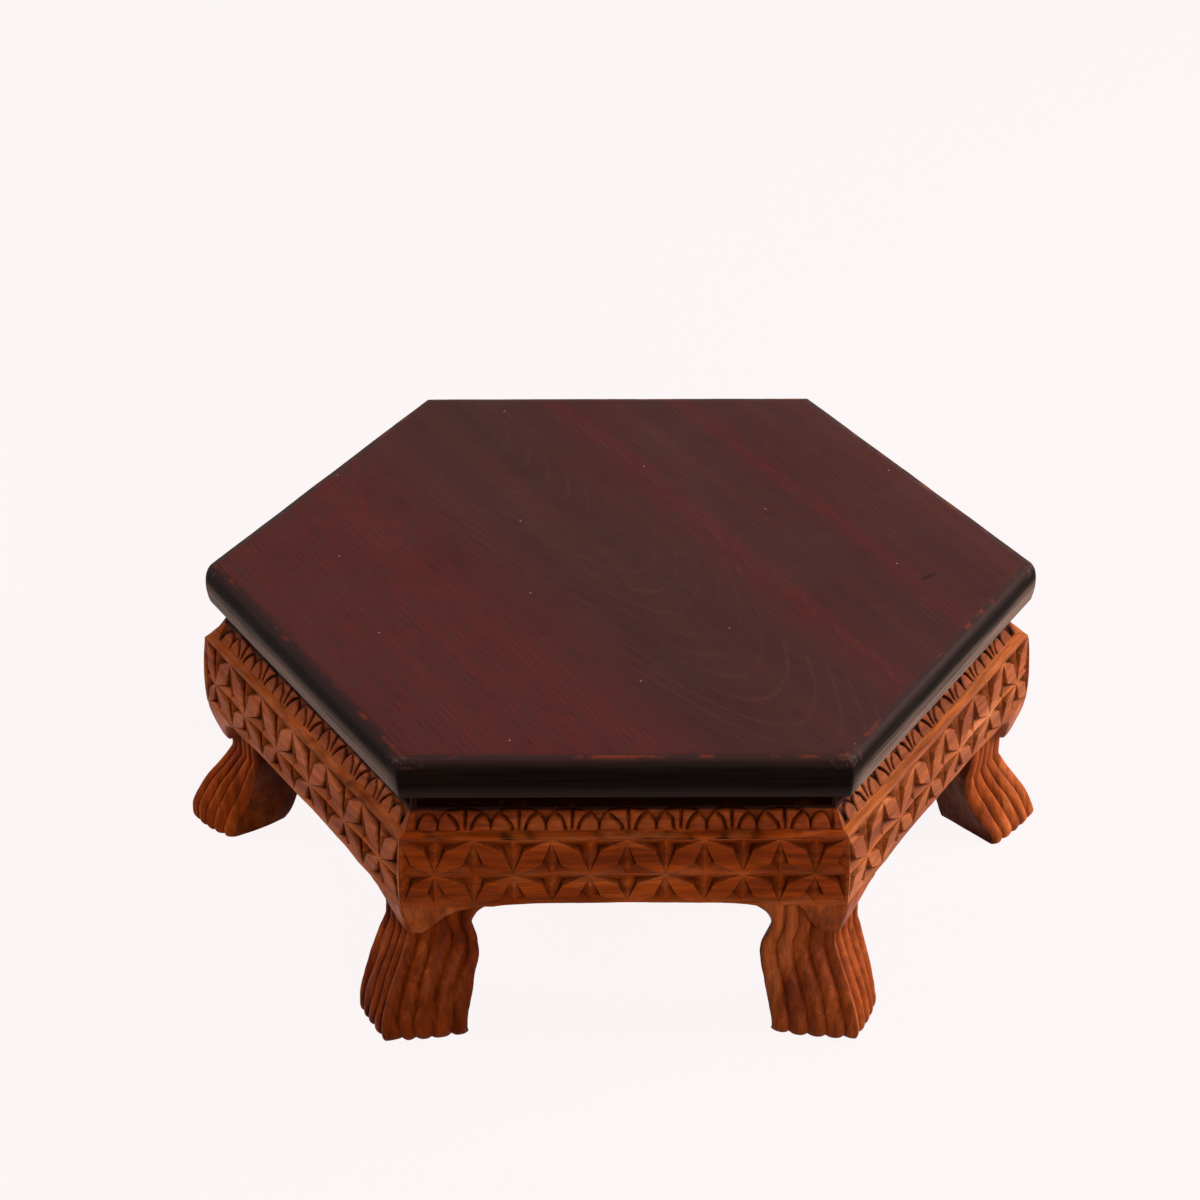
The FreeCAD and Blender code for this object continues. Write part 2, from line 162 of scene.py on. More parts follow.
room = bpy.data.worlds.new("pale_room")
room.use_nodes = True
tree = room.node_tree
tree.nodes.clear()
fill = node(tree, "ShaderNodeBackground", {"Color": pale, "Strength": 0.08})
backdrop = node(tree, "ShaderNodeBackground", {"Color": pale, "Strength": 1.0})
both = node(tree, "ShaderNodeMixShader", {0: seen_directly(tree), 1: fill, 2: backdrop})
node(tree, "ShaderNodeOutputWorld", {"Surface": both})
bpy.context.scene.world = room

lamp_aim = Vector((0, 0, 0.1))
for lamp_name, place, width, power in (
    ("lamp_right", (2.0, 0.3, 1.25), 0.9, 88),
    ("lamp_left", (-2.1, 0.2, 1.15), 0.8, 30),
    ("lamp_front", (0.7, -2.4, 1.1), 0.6, 30),
):
    lamp_data = bpy.data.lights.new(lamp_name, "AREA")
    lamp_data.size = width
    lamp_data.energy = power
    lamp = linked(lamp_name, lamp_data)
    lamp.location = place
    lamp.rotation_euler = (lamp_aim - Vector(place)).to_track_quat("-Z", "Y").to_euler()


# Carved rails
# Six straight lengths of orange-brown hardwood, mitred at the corners. Each has a band of six
# knife-cut stars, a worn bead over it, a leaning row of arches, and a sunk neck under the top, painted dark
# as shade.
def remap(value, low, high, to_low=0.0, to_high=1.0):
    """A number between two limits, moved to the same place between two others."""
    return value.through("ShaderNodeMapRange", {0: value, 1: low, 2: high, 3: to_low, 4: to_high})


def cloudy(place, stretch, detail, roughness=0.5, distortion=0.0, shift=(0, 0, 0)):
    """Soft noise over a place, with so many waves to the metre along each axis."""
    place = place.through("ShaderNodeMapping", {"Vector": place, "Scale": stretch, "Location": shift})
    return place.through("ShaderNodeTexNoise", {
        "Vector": place, "Scale": 1.0, "Detail": detail, "Roughness": roughness, "Distortion": distortion,
    })


def blend(share, colour, other):
    """One colour with a share of another laid over it."""
    return share.through("ShaderNodeMix", {0: share, 6: colour, 7: other}, data_type="RGBA")


def graded(value, *stops):
    """Colours that pass into one another at places from 0 to 1."""
    made = value.through("ShaderNodeValToRGB", {0: value})
    elements = made.source.color_ramp.elements
    for element, (at, colour) in zip(elements, (stops[0], stops[-1])):
        element.position = at
        element.color = colour
    for at, colour in stops[1:-1]:
        elements.new(at).color = colour
    return made


def kept(tree, name, part="Fac"):
    """What the mesh keeps at each point under a name."""
    return Amount(tree, node(tree, "ShaderNodeAttribute", attribute_name=name).outputs[part])


def object_place(tree):
    """Where a point of the surface lies in its object."""
    return Amount(tree, node(tree, "ShaderNodeTexCoord").outputs["Object"])


def surfaced(tree, colour, roughness, **more):
    """Ends a material's tree with the surface that light meets."""
    inputs = {"Base Color": colour, "Roughness": roughness, **more}
    node(tree, "ShaderNodeOutputMaterial", {"Surface": node(tree, "ShaderNodeBsdfPrincipled", inputs)})


def bumped(tree, strength, distance, height):
    """The small relief of a surface."""
    return node(tree, "ShaderNodeBump", {"Strength": strength, "Distance": distance, "Height": height})


def carved_wood_finish():
    """Oiled hardwood whose grain runs along the piece, with painted shade darkening its cuts and hollows."""
    material, tree = new_material("oiled_carved_hardwood")
    grain = kept(tree, "grain", "Vector")
    # Broad bands of lighter and redder wood, about 15 mm wide and 150 mm long
    bands = cloudy(grain, (7, 65, 65), 4.0, 0.55, 0.5)
    tone = graded(bands, (0.34, linear("#7C2D0B")), (0.52, linear("#9A3D0C")), (0.66, linear("#AE4E1A")))
    # Dark growth lines, drawn where a slow stretched pattern passes through even steps
    growth = cloudy(grain, (5, 34, 34), 2.0, 0.45, 0.9)
    ring = figure(tree, "POWER", figure(tree, "PINGPONG", growth * 15.0, 1.0), 5.0)
    patch = cloudy(grain, (11, 28, 28), 1.0, shift=(3.1, 1.7, 0.4))
    wood = blend(ring * remap(patch, 0.42, 0.68, 0.05, 0.5), tone, linear("#5A240D"))
    # Fine lighter and darker streaks, about 4 mm wide
    streaks = cloudy(grain, (26, 250, 250), 4.0, 0.6, 0.6)
    strength = remap(streaks, 0.32, 0.7, 0.6, 1.28)
    wood = wood.through("ShaderNodeVectorMath", {0: wood, "Scale": strength}, operation="SCALE")
    # Open pores, dark hair-fine dashes along the grain
    pores = remap(cloudy(grain, (60, 1500, 1500), 2.0), 0.56, 0.72, 0.0, 0.45)
    wood = blend(pores, wood, linear("#4E1F0B"))
    # Some pieces are painted lighter and more golden: partly the wood's own tone, partly painted light on
    # the rails that face the lamps, and painted highlight with wear on the bead and the pits' arrises
    lighter = wood.through("ShaderNodeVectorMath", {0: wood, 1: (1.08, 1.78, 4.8)}, operation="MULTIPLY")
    wood = blend(kept(tree, "golden"), wood, lighter)
    # Painted shade darkens the cuts, most of all along the foot of each cut's wall, and the sunk neck
    # and the arches' head under the top; a few dark patches on the bead are real dirt
    patchy_darkening = remap(cloudy(grain, (160, 160, 160), 3.0), 0.3, 0.7, 0.6, 1.0)
    shade_and_soil = figure(tree, "MULTIPLY", figure(tree, "POWER", kept(tree, "cut"), 1.5), patchy_darkening, clamp=True)
    wood = blend(shade_and_soil, wood, linear("#1E0702"))
    roughness = remap(bands, 0.3, 0.7, 0.5, 0.38) + shade_and_soil * 0.2
    bump = bumped(tree, 0.35, 0.0004, bands - pores * 1.2)
    surfaced(tree, wood, roughness, **{"Normal": bump, "Specular IOR Level": 0.045})
    return material


carved_wood = carved_wood_finish()
tan30 = math.tan(math.radians(30))
cos30 = math.cos(math.radians(30))
# All measures of the wood are in millimetres. First the heights of the rail and of what is carved in it
rail_foot = 88.0
band_head = 133.5
arch_foot = 136.0
arch_head = 147.2
arch_ledge = 147.34
neck_foot = 148.0
rail_head = 161.0
# How far the rail's back and its sunk neck stand from the table's middle
rail_back = 190.4
neck_plane = 198.4
# Half the length of the face, of the band of stars and of the neck, and the reach of the neck's side walls
half_face = 127.0
half_band = 126.0
neck_half = 116.2
neck_wall = 0.7
# Where points stand along the neck, how dark the neck is painted as shade, and the flat wood left
# beside each star's pits
neck_columns = np.arange(-105, 106, 7)
neck_painted_shade = 1.3
land = 0.8
# The rail's face from its foot up: each height, and how far the face stands there from the table's middle
face_shape = (
    (88, 219.6), (92, 219.9), (96, 220.15), (100, 220.3), (104, 220.4), (108, 220.35), (112, 220.25),
    (116, 220.1), (120, 219.9), (124, 219.6), (128, 219.2), (131, 218.9), (133.5, 218.6), (134, 218.3),
    (134.5, 217.5), (135, 216.2), (135.35, 214.7), (135.65, 212.9), (136, 213.3), (139, 211.4), (142, 209.5),
    (144.8, 207.7), (147.2, 206.2), (148, 205.9), (152, 205.6), (156.5, 205.5), (161, 205.5),
)
face_heights, face_planes = zip(*face_shape)
# How much fuller than the drawing each corner of the handmade frame is, by its angle
corner_fullness = {0: -1.8, 60: -0.8, 120: 0.8, 180: 2.4, 240: 0.9, 300: 0.0}
# Each rail: how golden its wood is painted, the rails that face the lamps lighter as painted light,
# its stars' height and places along it, and its arches' feet
rails = {
    "front": (
        0.0, 110.0, (-107.7, -63.2, -19.7, 22.9, 66.9, 107.7),
        (-105.4, -75.4, -44.3, -14.3, 17.9, 46.2, 74.4, 104.9)),
    "front_right": (
        1.0, 108.4, (-102.7, -59.3, -18.0, 22.9, 66.8, 108.0),
        (-103.0, -73.6, -44.0, -15.5, 14.6, 44.4, 73.2, 102.4)),
    "back_right": (
        0.7, 109.6, (-107.0, -65.5, -22.4, 21.0, 64.1, 106.8),
        (-104.1, -74.3, -44.9, -14.8, 15.3, 45.1, 74.6, 104.0)),
    "back": (
        0.3, 109.0, (-106.6, -64.0, -21.2, 22.2, 65.3, 107.5),
        (-105.0, -75.2, -45.3, -15.2, 14.9, 44.6, 74.3, 103.8)),
    "back_left": (
        0.5, 109.4, (-108.2, -64.9, -20.8, 21.7, 63.8, 106.2),
        (-104.4, -74.9, -44.2, -14.4, 15.6, 45.4, 75.1, 104.6)),
    "front_left": (
        0.4, 107.8, (-112.8, -71.4, -28.1, 14.8, 59.7, 103.3),
        (-103.6, -74.2, -44.4, -14.9, 15.2, 44.9, 74.4, 103.5)),
}


def own_shift(hand):
    """A shift that gives a piece its own part of every noise."""
    return Vector((hand.uniform(-50, 50), hand.uniform(-50, 50), hand.uniform(-50, 50)))


def waviness(shift, *place):
    """Smooth noise at a place, from about -1 to 1."""
    return noise.noise(Vector(place) + shift)


def face_plane(x, z, ends):
    """How far the uncarved face stands from the table's middle, with its ends' fullness blended along it."""
    along = min(max(x / (2 * half_face) + 0.5, 0), 1)
    fullness = ends[0] * (1 - along) + ends[1] * along
    weight = np.interp(z, (88, 132, 140, 148, 161), (1, 1, 1.35, 1.35, 0.3))
    return float(np.interp(z, face_heights, face_planes)) + fullness * float(weight)


def face_end(sign, z, ends):
    """How far along the rail the face reaches at a height, to its left (-1) or right (1) mitre."""
    return sign * face_plane(sign * half_face, z, ends) * tan30


def lower_edge(x):
    """The height of the rail's slightly hollowed lower edge."""
    reach = abs(x) / 73.2
    return rail_foot if reach >= 1 else rail_foot + 2.5 * (1 - reach ** 4) ** 0.6


def distance_to_line(points, line):
    """The shortest distance of each point to a line of many stretches."""
    nearest = np.full(len(points), 1e9)
    for start, end in zip(line[:-1], line[1:]):
        start = np.array(start)
        run = np.array(end) - start
        share = np.clip((points - start) @ run / max(run @ run, 1e-9), 0, 1)
        nearest = np.minimum(nearest, np.linalg.norm(points - start - share[:, None] * run, axis=1))
    return nearest


def smooth_line(points, steps=5):
    """A rounded line through the points."""
    points = [np.array(point, float) for point in points]
    padded = [2 * points[0] - points[1], *points, 2 * points[-1] - points[-2]]
    line = []
    for a, b, c, d in zip(padded, padded[1:], padded[2:], padded[3:]):
        for step in range(steps):
            t = step / steps
            bend = (2 * a - 5 * b + 4 * c - d) * t ** 2 + (3 * b - a - 3 * c + d) * t ** 3
            line.append(0.5 * (2 * b + (c - a) * t + bend))
    line.append(points[-1])
    return line


def falling(gap, reach):
    """1 on a line, falling to 0 at the reach from it."""
    return np.clip(1 - gap / reach, 0, 1)


def arch_outline(left, right, middle, crown):
    """An arch's line, steeper on its left than on its right, from foot to foot."""
    rise = ((0, -0.5), (0.1, 2.2), (0.9, 4.6), (2.3, 6.9), (4.6, 8.9), (7.6, crown))
    fall = ((7.0, crown - 0.6), (3.9, 7.9), (1.5, 5.2), (0.4, 2.8), (0, -0.5))
    line = [(left + x, up) for x, up in rise] + [(middle, crown + 0.4)] + [(right - x, up) for x, up in fall]
    return np.array(smooth_line(line))


def arch_depths(points, feet, hand):
    """How deep the row of arches is cut at points given along the rail and up its leaning face."""
    depth = np.zeros(len(points))
    outline_gap = np.full(len(points), 1e9)
    inner_gap = np.full(len(points), 1e9)
    sunk = np.ones(len(points), bool)
    for left, right in zip(feet[:-1], feet[1:]):
        near = (points[:, 0] > left - 2) & (points[:, 0] < right + 2)
        x, up = points[near].T
        crown = hand.uniform(9.9, 10.7)
        middle = (left + right) / 2 + hand.uniform(-0.8, 0.8)
        outline = arch_outline(left, right, middle, crown)
        inside = (x > left) & (x < right) & (up < np.interp(x, outline[:, 0], outline[:, 1]))
        sunk[near] &= ~inside
        outline_gap[near] = np.minimum(outline_gap[near], distance_to_line(points[near], outline))
        # Two curved cuts, one on each side of the arch's middle
        left_cut = ((left + 6.2, 7.6), (left + 9.0, 5.4), (middle - 4.4, 2.6), (middle - 3.6, 0.2))
        right_cut = ((middle + 3.5, 0.2), (middle + 4.6, 3.4), (middle + 7.2, 6.6), (middle + 10.4, 8.4))
        for line, width, deep in ((left_cut, 1.1, 2.1), (right_cut, 1.05, 2.0)):
            gap = distance_to_line(points[near], smooth_line(line))
            depth[near] = np.maximum(depth[near], deep * falling(gap, width) ** 0.8)
            inner_gap[near] = np.minimum(inner_gap[near], gap)
        # A wedge up the middle that ends in a round bud
        slant = hand.uniform(-0.6, 0.6)
        climb = np.clip(up, 0, 10)
        gap = np.abs(x - middle - slant * climb / 10)
        open_part = (up > 0.6) & (up < 9.6)
        wedge = np.where(open_part, (1.7 + 0.08 * climb) * falling(gap, 0.6 + 0.09 * climb) ** 0.7, 0)
        bud = 2.2 * falling(np.hypot(x - middle - slant, up - 8.9), 1.35) ** 0.6
        depth[near] = np.maximum(depth[near], np.maximum(wedge, bud))
        inner_gap[near] = np.minimum(inner_gap[near], gap + np.where(open_part, 0, 3))
    # Half an arch at each end of the row
    x, up = points.T
    end = (x < feet[0]) | (x > feet[-1])
    side_reach = np.where(x < 0, feet[0] - x, x - feet[-1])
    end_line = 7.8 * np.clip(1 - ((side_reach - 5.4) / 5.8) ** 2, 0, 1) ** 0.5
    sunk[end & (up < end_line)] = False
    end_gap = np.abs(up - end_line) * 0.6
    outline_gap = np.where(end & (side_reach < 11.5), np.minimum(outline_gap, end_gap), outline_gap)
    # The ground between the arches is sunk, most of all at their feet, and their edges are eased
    ground = 1.0 + 1.9 * falling(up, 9.5) + 0.6 * np.exp(-outline_gap / 0.8)
    depth = np.where(sunk, np.maximum(depth, ground), np.maximum(depth, 2.1 * falling(outline_gap, 0.55)))
    depth += np.where(sunk, 0, 0.75 * falling(np.minimum(outline_gap, inner_gap), 2.8) ** 2)
    return depth * np.clip((118.5 - np.abs(x)) / 1.5, 0, 1)


class RailFace:
    """The carved face of one rail as a net of points. Each has its place along the rail and up it, how
    deep it is cut, and how dark it is painted, mostly as shade in hollows and under the top, partly as dirt."""

    def __init__(self, side, turn):
        self.hand = random.Random("rail " + side)
        self.golden, self.star_height, self.stars, self.arch_feet = rails[side]
        self.ends = (corner_fullness[(240 + 60 * turn) % 360], corner_fullness[(300 + 60 * turn) % 360])
        self.shift = own_shift(self.hand)
        self.places = []
        self.depths = []
        self.cuts = []
        self.edges = []
        self.pits = []
        self.arris = set()

    def add(self, x, z, depth=0.0, cut=0.0):
        """Adds a point and gives its number."""
        self.places.append((x, z))
        self.depths.append(depth)
        self.cuts.append(cut)
        return len(self.places) - 1

    def join(self, *chain):
        """Makes the net's edges follow a chain of points."""
        self.edges.extend(zip(chain[:-1], chain[1:]))

    def end_chain(self, sign, start):
        """The left (-1) or right (1) end of the face, from its lower corner up."""
        chain = [start]
        for z in face_heights[1:]:
            # Painted shade: the end is darkened over the arches, most under the top's overhang
            shade_and_dirt = float(np.interp(z, (136.3, 136.8, 144, 147), (0.0, 0.5, 0.65, 1.3)))
            chain.append(self.add(face_end(sign, z, self.ends), z, 0, shade_and_dirt))
        return chain

    def draw_outline(self):
        """The outline of the face, from the left end of the lower edge and round."""
        left_foot = self.add(face_end(-1, rail_foot, self.ends), rail_foot)
        lower = [left_foot] + [self.add(x, lower_edge(x)) for x in np.arange(-124.8, 124.9, 2.4)]
        lower.append(self.add(face_end(1, rail_foot, self.ends), rail_foot))
        self.right_end = self.end_chain(1, lower[-1])
        self.left_end = self.end_chain(-1, lower[0])
        wall = neck_half + neck_wall
        upper_xs = [-wall, -neck_half, *neck_columns, neck_half, wall]
        self.upper = [self.left_end[-1]] + [self.add(x, rail_head) for x in upper_xs] + [self.right_end[-1]]
        for chain in (lower, self.right_end, self.left_end, self.upper):
            self.join(*chain)
        self.outline = lower + self.right_end[1:] + self.upper[::-1][1:] + self.left_end[::-1][1:-1]

    def draw_lines(self):
        """Lines along the bead, the groove under the arches, and the arches' foot and head."""
        for z in (band_head, 134, 134.5, 135, 135.35, 135.65, arch_foot, arch_head):
            level = face_heights.index(z)
            half = self.places[self.right_end[level]][0] - 1.2
            line = []
            for x in np.arange(-half, half, 2.2):
                swing = 0
                # Painted shade darkens the arches' head line under the top and the grooves at the band's
                # head and the arches' foot; the bead gets a few patches of real dirt
                shade_and_dirt = 1.15
                if z < arch_head:
                    swing = 0.38 * waviness(self.shift, x / 17, 134 / 30, 0.5)
                    swing += 0.16 * waviness(self.shift, x / 3, 134 / 30, 4)
                    swing *= 1 - (x / half_face) ** 8
                    shade_and_dirt = 0.75 if z in (band_head, arch_foot) else 0.0
                if z < arch_foot:
                    touched = max(waviness(self.shift, x / 8, z / 3, 21), 0)
                    shade_and_dirt += min(1.6 * (1 - self.golden) * touched, 0.8)
                line.append(self.add(x, z + swing, 0, shade_and_dirt))
            self.join(self.left_end[level], *line, self.right_end[level])

    def draw_neck(self):
        """A ledge over the arches, the sunk flat over it, and its two side walls."""
        # The sunk neck, its ledge and its walls are painted nearly black as the shade under the top
        ledge = [self.add(x, neck_foot, 0, neck_painted_shade) for x in np.linspace(-neck_half, neck_half, 60)]
        self.join(*ledge)
        self.join(*[self.add(x, arch_ledge, 0, 1.2) for x in np.linspace(-neck_half, neck_half, 60)])
        upper = self.upper
        for sign, corner, inner, outer in (
            (-1, ledge[0], upper[2], upper[1]),
            (1, ledge[-1], upper[-3], upper[-2]),
        ):
            inner_wall = [self.add(sign * neck_half, z, 0, neck_painted_shade) for z in (152, 156.5)]
            self.join(corner, *inner_wall, inner)
            wall = sign * (neck_half + neck_wall)
            self.join(*[self.add(wall, z, 0, neck_painted_shade) for z in (147.5, 150, 153, 156.5)], outer)
        for x in neck_columns:
            self.add(x, 151, 0, neck_painted_shade)
            self.add(x + 2, 155.5, 0, neck_painted_shade)

    def cut_pit(self, ring, peak):
        """A stop-cut pit. Its ring has tips and edges on the face and shoulders cut deep, and its floor
        rises to the peak."""
        hand = self.hand
        peak_at = self.add(*peak, 0.8 + hand.uniform(-0.2, 0.4), 0.1)
        inner = np.mean([(x, z) for kind, x, z in ring] + [peak], axis=0)
        rows = []
        for kind, x, z in ring:
            x += hand.uniform(-0.25, 0.25)
            z += 0 if kind == "edge" else hand.uniform(-0.25, 0.25)
            if kind == "shoulder":
                x += hand.uniform(-0.45, 0.45)
                z += hand.uniform(-0.45, 0.45)
                inward = inner - (x, z)
                inward /= np.linalg.norm(inward)
                deep = hand.uniform(4.5, 6.0)
                # Painted shade: the floor point is darkened, the more on the rails painted lit, and the
                # mouth is a pale arris of wear and painted highlight
                rows.append((
                    self.add(x - 0.3 * inward[0], z - 0.3 * inward[1], 0.0, 0.0),
                    self.add(x, z, 0.25, 0.1),
                    self.add(x + 0.7 * inward[0], z + 0.7 * inward[1], deep, 0.95 + 0.25 * self.golden),
                ))
            else:
                rows.append((self.add(x, z, 0.1, 0.12),) * 3)
        for row, following in zip(rows, rows[1:] + rows[:1]):
            for a, b in set(zip(row, following)):
                self.join(a, b)
        for _, mouth, floor_point in rows:
            self.join(peak_at, floor_point)
            self.arris.add(mouth)
        self.pits.append(np.array([self.places[row[0]] for row in rows]))

    def cut_stars(self):
        """Six stars. Pits lie over and under each star's middle and between it and the next star."""
        middle = self.star_height
        head = band_head - 0.7
        half_up = head - middle
        half_down = middle - rail_foot - land
        borders = [(a + b) / 2 + self.hand.uniform(-0.4, 0.4) for a, b in zip(self.stars, self.stars[1:])]
        bounds = [-half_band, *borders, half_band]
        for star, low, high in zip(self.stars, bounds, bounds[1:]):
            left = star - low
            right = high - star
            # Over the star
            self.cut_pit((
                ("tip", star, middle + land),
                ("shoulder", star + 0.30 * right, middle + 0.70 * half_up),
                ("edge", star + right - land, head),
                ("edge", star, head),
                ("edge", star - left + land, head),
                ("shoulder", star - 0.30 * left, middle + 0.70 * half_up),
            ), (star, head - 0.6))
            # Under it, where the rail's lower edge limits the pit
            shoulder_z = middle - 0.70 * half_down
            right_x = star + 0.31 * right
            left_x = star - 0.31 * left
            foot = lower_edge(star) + land
            self.cut_pit((
                ("tip", star, middle - land),
                ("shoulder", left_x, shoulder_z),
                ("edge", *cut_lower(left_x, shoulder_z, star - left + land)),
                ("edge", star, foot),
                ("edge", *cut_lower(right_x, shoulder_z, star + right - land)),
                ("shoulder", right_x, shoulder_z),
            ), (star, foot + 0.6))
        # Between one star and the next
        for star, following, edge in zip(self.stars, self.stars[1:], borders):
            left_x = star + 0.73 * (edge - star)
            right_x = following - 0.73 * (following - edge)
            self.cut_pit((
                ("tip", star + land, middle),
                ("shoulder", left_x, middle - 0.31 * half_down),
                ("tip", edge, max(middle - half_down + 0.9, lower_edge(edge) + 1.3)),
                ("shoulder", right_x, middle - 0.31 * half_down),
                ("tip", following - land, middle),
                ("shoulder", right_x, middle + 0.31 * half_up),
                ("tip", edge, head - 0.9),
                ("shoulder", left_x, middle + 0.31 * half_up),
            ), (edge, middle))
        # Half a pit at each end of the band
        for sign, star in ((-1, self.stars[0]), (1, self.stars[-1])):
            edge = sign * half_band
            shoulder_x = star + sign * 0.70 * abs(edge - star)
            self.cut_pit((
                ("tip", star + sign * land, middle),
                ("shoulder", shoulder_x, middle + 0.31 * half_up),
                ("tip", edge - sign * 0.3, head - 1.2),
                ("tip", edge - sign * 0.3, middle),
                ("tip", edge - sign * 0.3, rail_foot + 2.4),
                ("shoulder", shoulder_x, middle - 0.31 * half_down),
            ), (edge - sign * 1.0, middle))

    def in_pit(self, x, z):
        """Whether a place lies in a pit or on its mouth."""
        for pit in self.pits:
            low_x, low_z = pit.min(axis=0) - 0.5
            high_x, high_z = pit.max(axis=0) + 0.5
            if not (low_x < x < high_x and low_z < z < high_z):
                continue
            if distance_to_line(np.array([(x, z)]), [*pit, pit[0]])[0] < 0.45:
                return True
            following = np.roll(pit, -1, axis=0)
            run_x, run_z = (following - pit).T
            crossing = (pit[:, 1] > z) != (following[:, 1] > z)
            crossed_at = pit[:, 0] + (z - pit[:, 1]) / np.where(run_z == 0, 1e-9, run_z) * run_x
            if (crossing & (x < crossed_at)).sum() % 2:
                return True
        return False

    def fill_plain_parts(self):
        """Loose points over the band's face between the pits, and on the corners beside the neck."""
        hand = self.hand
        for row in np.arange(rail_foot + 1.4, band_head - 0.8, 2.1):
            half = face_end(1, row, self.ends) - 1.0
            for x in np.arange(-half, half, 2.1):
                x += hand.uniform(-0.5, 0.5)
                z = row + hand.uniform(-0.4, 0.4)
                if lower_edge(x) + 0.9 < z < band_head - 0.5 and not self.in_pit(x, z):
                    self.add(x, z)
        # Painted shade: the corners beside the neck are darkened under the top
        for sign in (-1, 1):
            for z in np.arange(149, 160, 2.6):
                limit = abs(face_end(sign, z, self.ends)) - 1.2
                for x in np.arange(neck_half + 1.9, limit, 2.4):
                    self.add(sign * x, z + hand.uniform(-0.4, 0.4), 0, 1.25)

    def cut_arches(self):
        """A close grid of points that carries the row of arches."""
        grid = []
        for z in np.arange(arch_foot + 0.35, arch_head - 0.2, 0.4):
            half = face_end(1, z, self.ends) - 0.9
            for x in np.arange(-half, half, 0.46):
                grid.append((x + self.hand.uniform(-0.1, 0.1), z + self.hand.uniform(-0.08, 0.08)))
        grid = np.array(grid)
        leaning = np.column_stack((grid[:, 0], (grid[:, 1] - arch_foot) * 1.03))
        for (x, z), depth in zip(grid, arch_depths(leaning, self.arch_feet, self.hand)):
            # Painted shade: the arches darken in their cuts, all over the row, more on the rails painted
            # lit, and most towards the top's overhang
            stipple = 0.12 * waviness(self.shift, x * 1.6, z * 1.6, 3) if depth > 0.9 else 0.0
            shaded = 1.1 * max(z - 144.4, 0) / 2.8
            shade_and_dirt = 0.7 * min(depth / 2.6, 1) + 0.38 + 0.32 * self.golden + shaded
            self.add(x, z, depth + stipple, shade_and_dirt)

    def face_point(self, x, z, depth):
        """Where a point of the net stands, with the hand's unevenness and the bead's wear."""
        on_neck = z > neck_foot - 0.1 and abs(x) <= neck_half + 0.01
        plane = neck_plane if on_neck else face_plane(x, z, self.ends)
        fade = min(1.0, (half_face - abs(x)) / 4 + 0.15, (z - 87.5) / 3, max((158 - z) / 4, 0))
        wave = 0.5 * waviness(self.shift, x / 23, z / 15, 0)
        wave += 0.16 * waviness(self.shift, x / 4.5, z / 4.5, 7)
        wear = 0.6 * max(waviness(self.shift, x / 9, z / 6, 11), 0) if 132.5 < z < 135.4 else 0
        return (x, -(plane - depth - max(fade, 0) * (wave + wear)), z)

    def solid(self):
        """The rail's points and faces, closed by the mitres, the plain back, the top and the underside, and
        each point's painted shade and dirt, place in the wood, and golden tone with wear and painted light."""
        net, _, faces, origins, _, _ = delaunay_2d_cdt(
            [Vector(place) for place in self.places], self.edges, [], 1, 1e-4)
        points = []
        cuts = []
        rubbed = []
        number_in_net = {}
        for at, sources in zip(net, origins):
            number_in_net.update({source: len(points) for source in sources})
            points.append(self.face_point(*at, self.depths[sources[0]] if sources else 0.3))
            cuts.append(self.cuts[sources[0]] if sources else 0.2)
            rubbed.append(bool(sources) and sources[0] in self.arris)
        front = [number_in_net[source] for source in self.outline]
        back = [len(points) + place for place in range(len(front))]
        for number in front:
            x, y, z = points[number]
            points.append((x * rail_back / -y, -rail_back, z))
            cuts.append(0.1)
            rubbed.append(False)
        faces = [list(face) for face in faces]
        for place in range(len(front)):
            after = (place + 1) % len(front)
            faces.append([front[after], front[place], back[place], back[after]])
        faces.append(back[::-1])
        grain = [(x + self.shift.x * 7, y + self.shift.y, z + self.shift.z) for x, y, z in points]
        golden = []
        for (x, y, z), on_arris in zip(points, rubbed):
            # The bead's rubbed patches and the pits' arrises are painted paler, partly wear and partly
            # painted highlight; the arches over the bead are made less golden as painted shade under the top
            worn = max(waviness(self.shift, x / 12, 2, z / 4) + 0.25, 0) if 133.9 < z < 135.6 else 0
            frieze_shade_factor = float(np.interp(z, (136.2, 137.5), (1.0, 0.6)))
            golden.append(self.golden * frieze_shade_factor + 1.1 * worn + 0.5 * on_arris)
        return points, faces, cuts, grain, golden


def cut_lower(shoulder_x, shoulder_z, tip_x):
    """Where a pit's side, on its way to a tip at the rail's foot, meets the border over the lower edge."""
    border = lower_edge(tip_x) + land
    share = (shoulder_z - border) / (shoulder_z - rail_foot - land)
    return shoulder_x + share * (tip_x - shoulder_x), border


def solid_piece(name, points, faces, cuts, grain, golden, material, turn=0.0, sharp=15):
    """A closed piece from points in millimetres, turned about the table's axis."""
    spin = Matrix.Rotation(turn, 4, "Z")
    mesh = bpy.data.meshes.new(name)
    mesh.from_pydata([spin @ (Vector(point) * mm) for point in points], [], faces)
    for label, kind, field, values in (
        ("cut", "FLOAT", "value", np.array(cuts, np.float32)),
        ("grain", "FLOAT_VECTOR", "vector", np.array(grain, np.float32).ravel() * mm),
        ("golden", "FLOAT", "value", np.array(golden, np.float32)),
    ):
        mesh.attributes.new(label, kind, "POINT").data.foreach_set(field, values)
    shell = bmesh.new()
    shell.from_mesh(mesh)
    bmesh.ops.remove_doubles(shell, verts=shell.verts, dist=1e-7)
    bmesh.ops.recalc_face_normals(shell, faces=shell.faces)
    shell.to_mesh(mesh)
    shell.free()
    mesh.polygons.foreach_set("use_smooth", [True] * len(mesh.polygons))
    mesh.set_sharp_from_angle(angle=math.radians(sharp))
    mesh.materials.append(material)
    piece = linked(name, mesh)
    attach(piece, "root")
    return piece


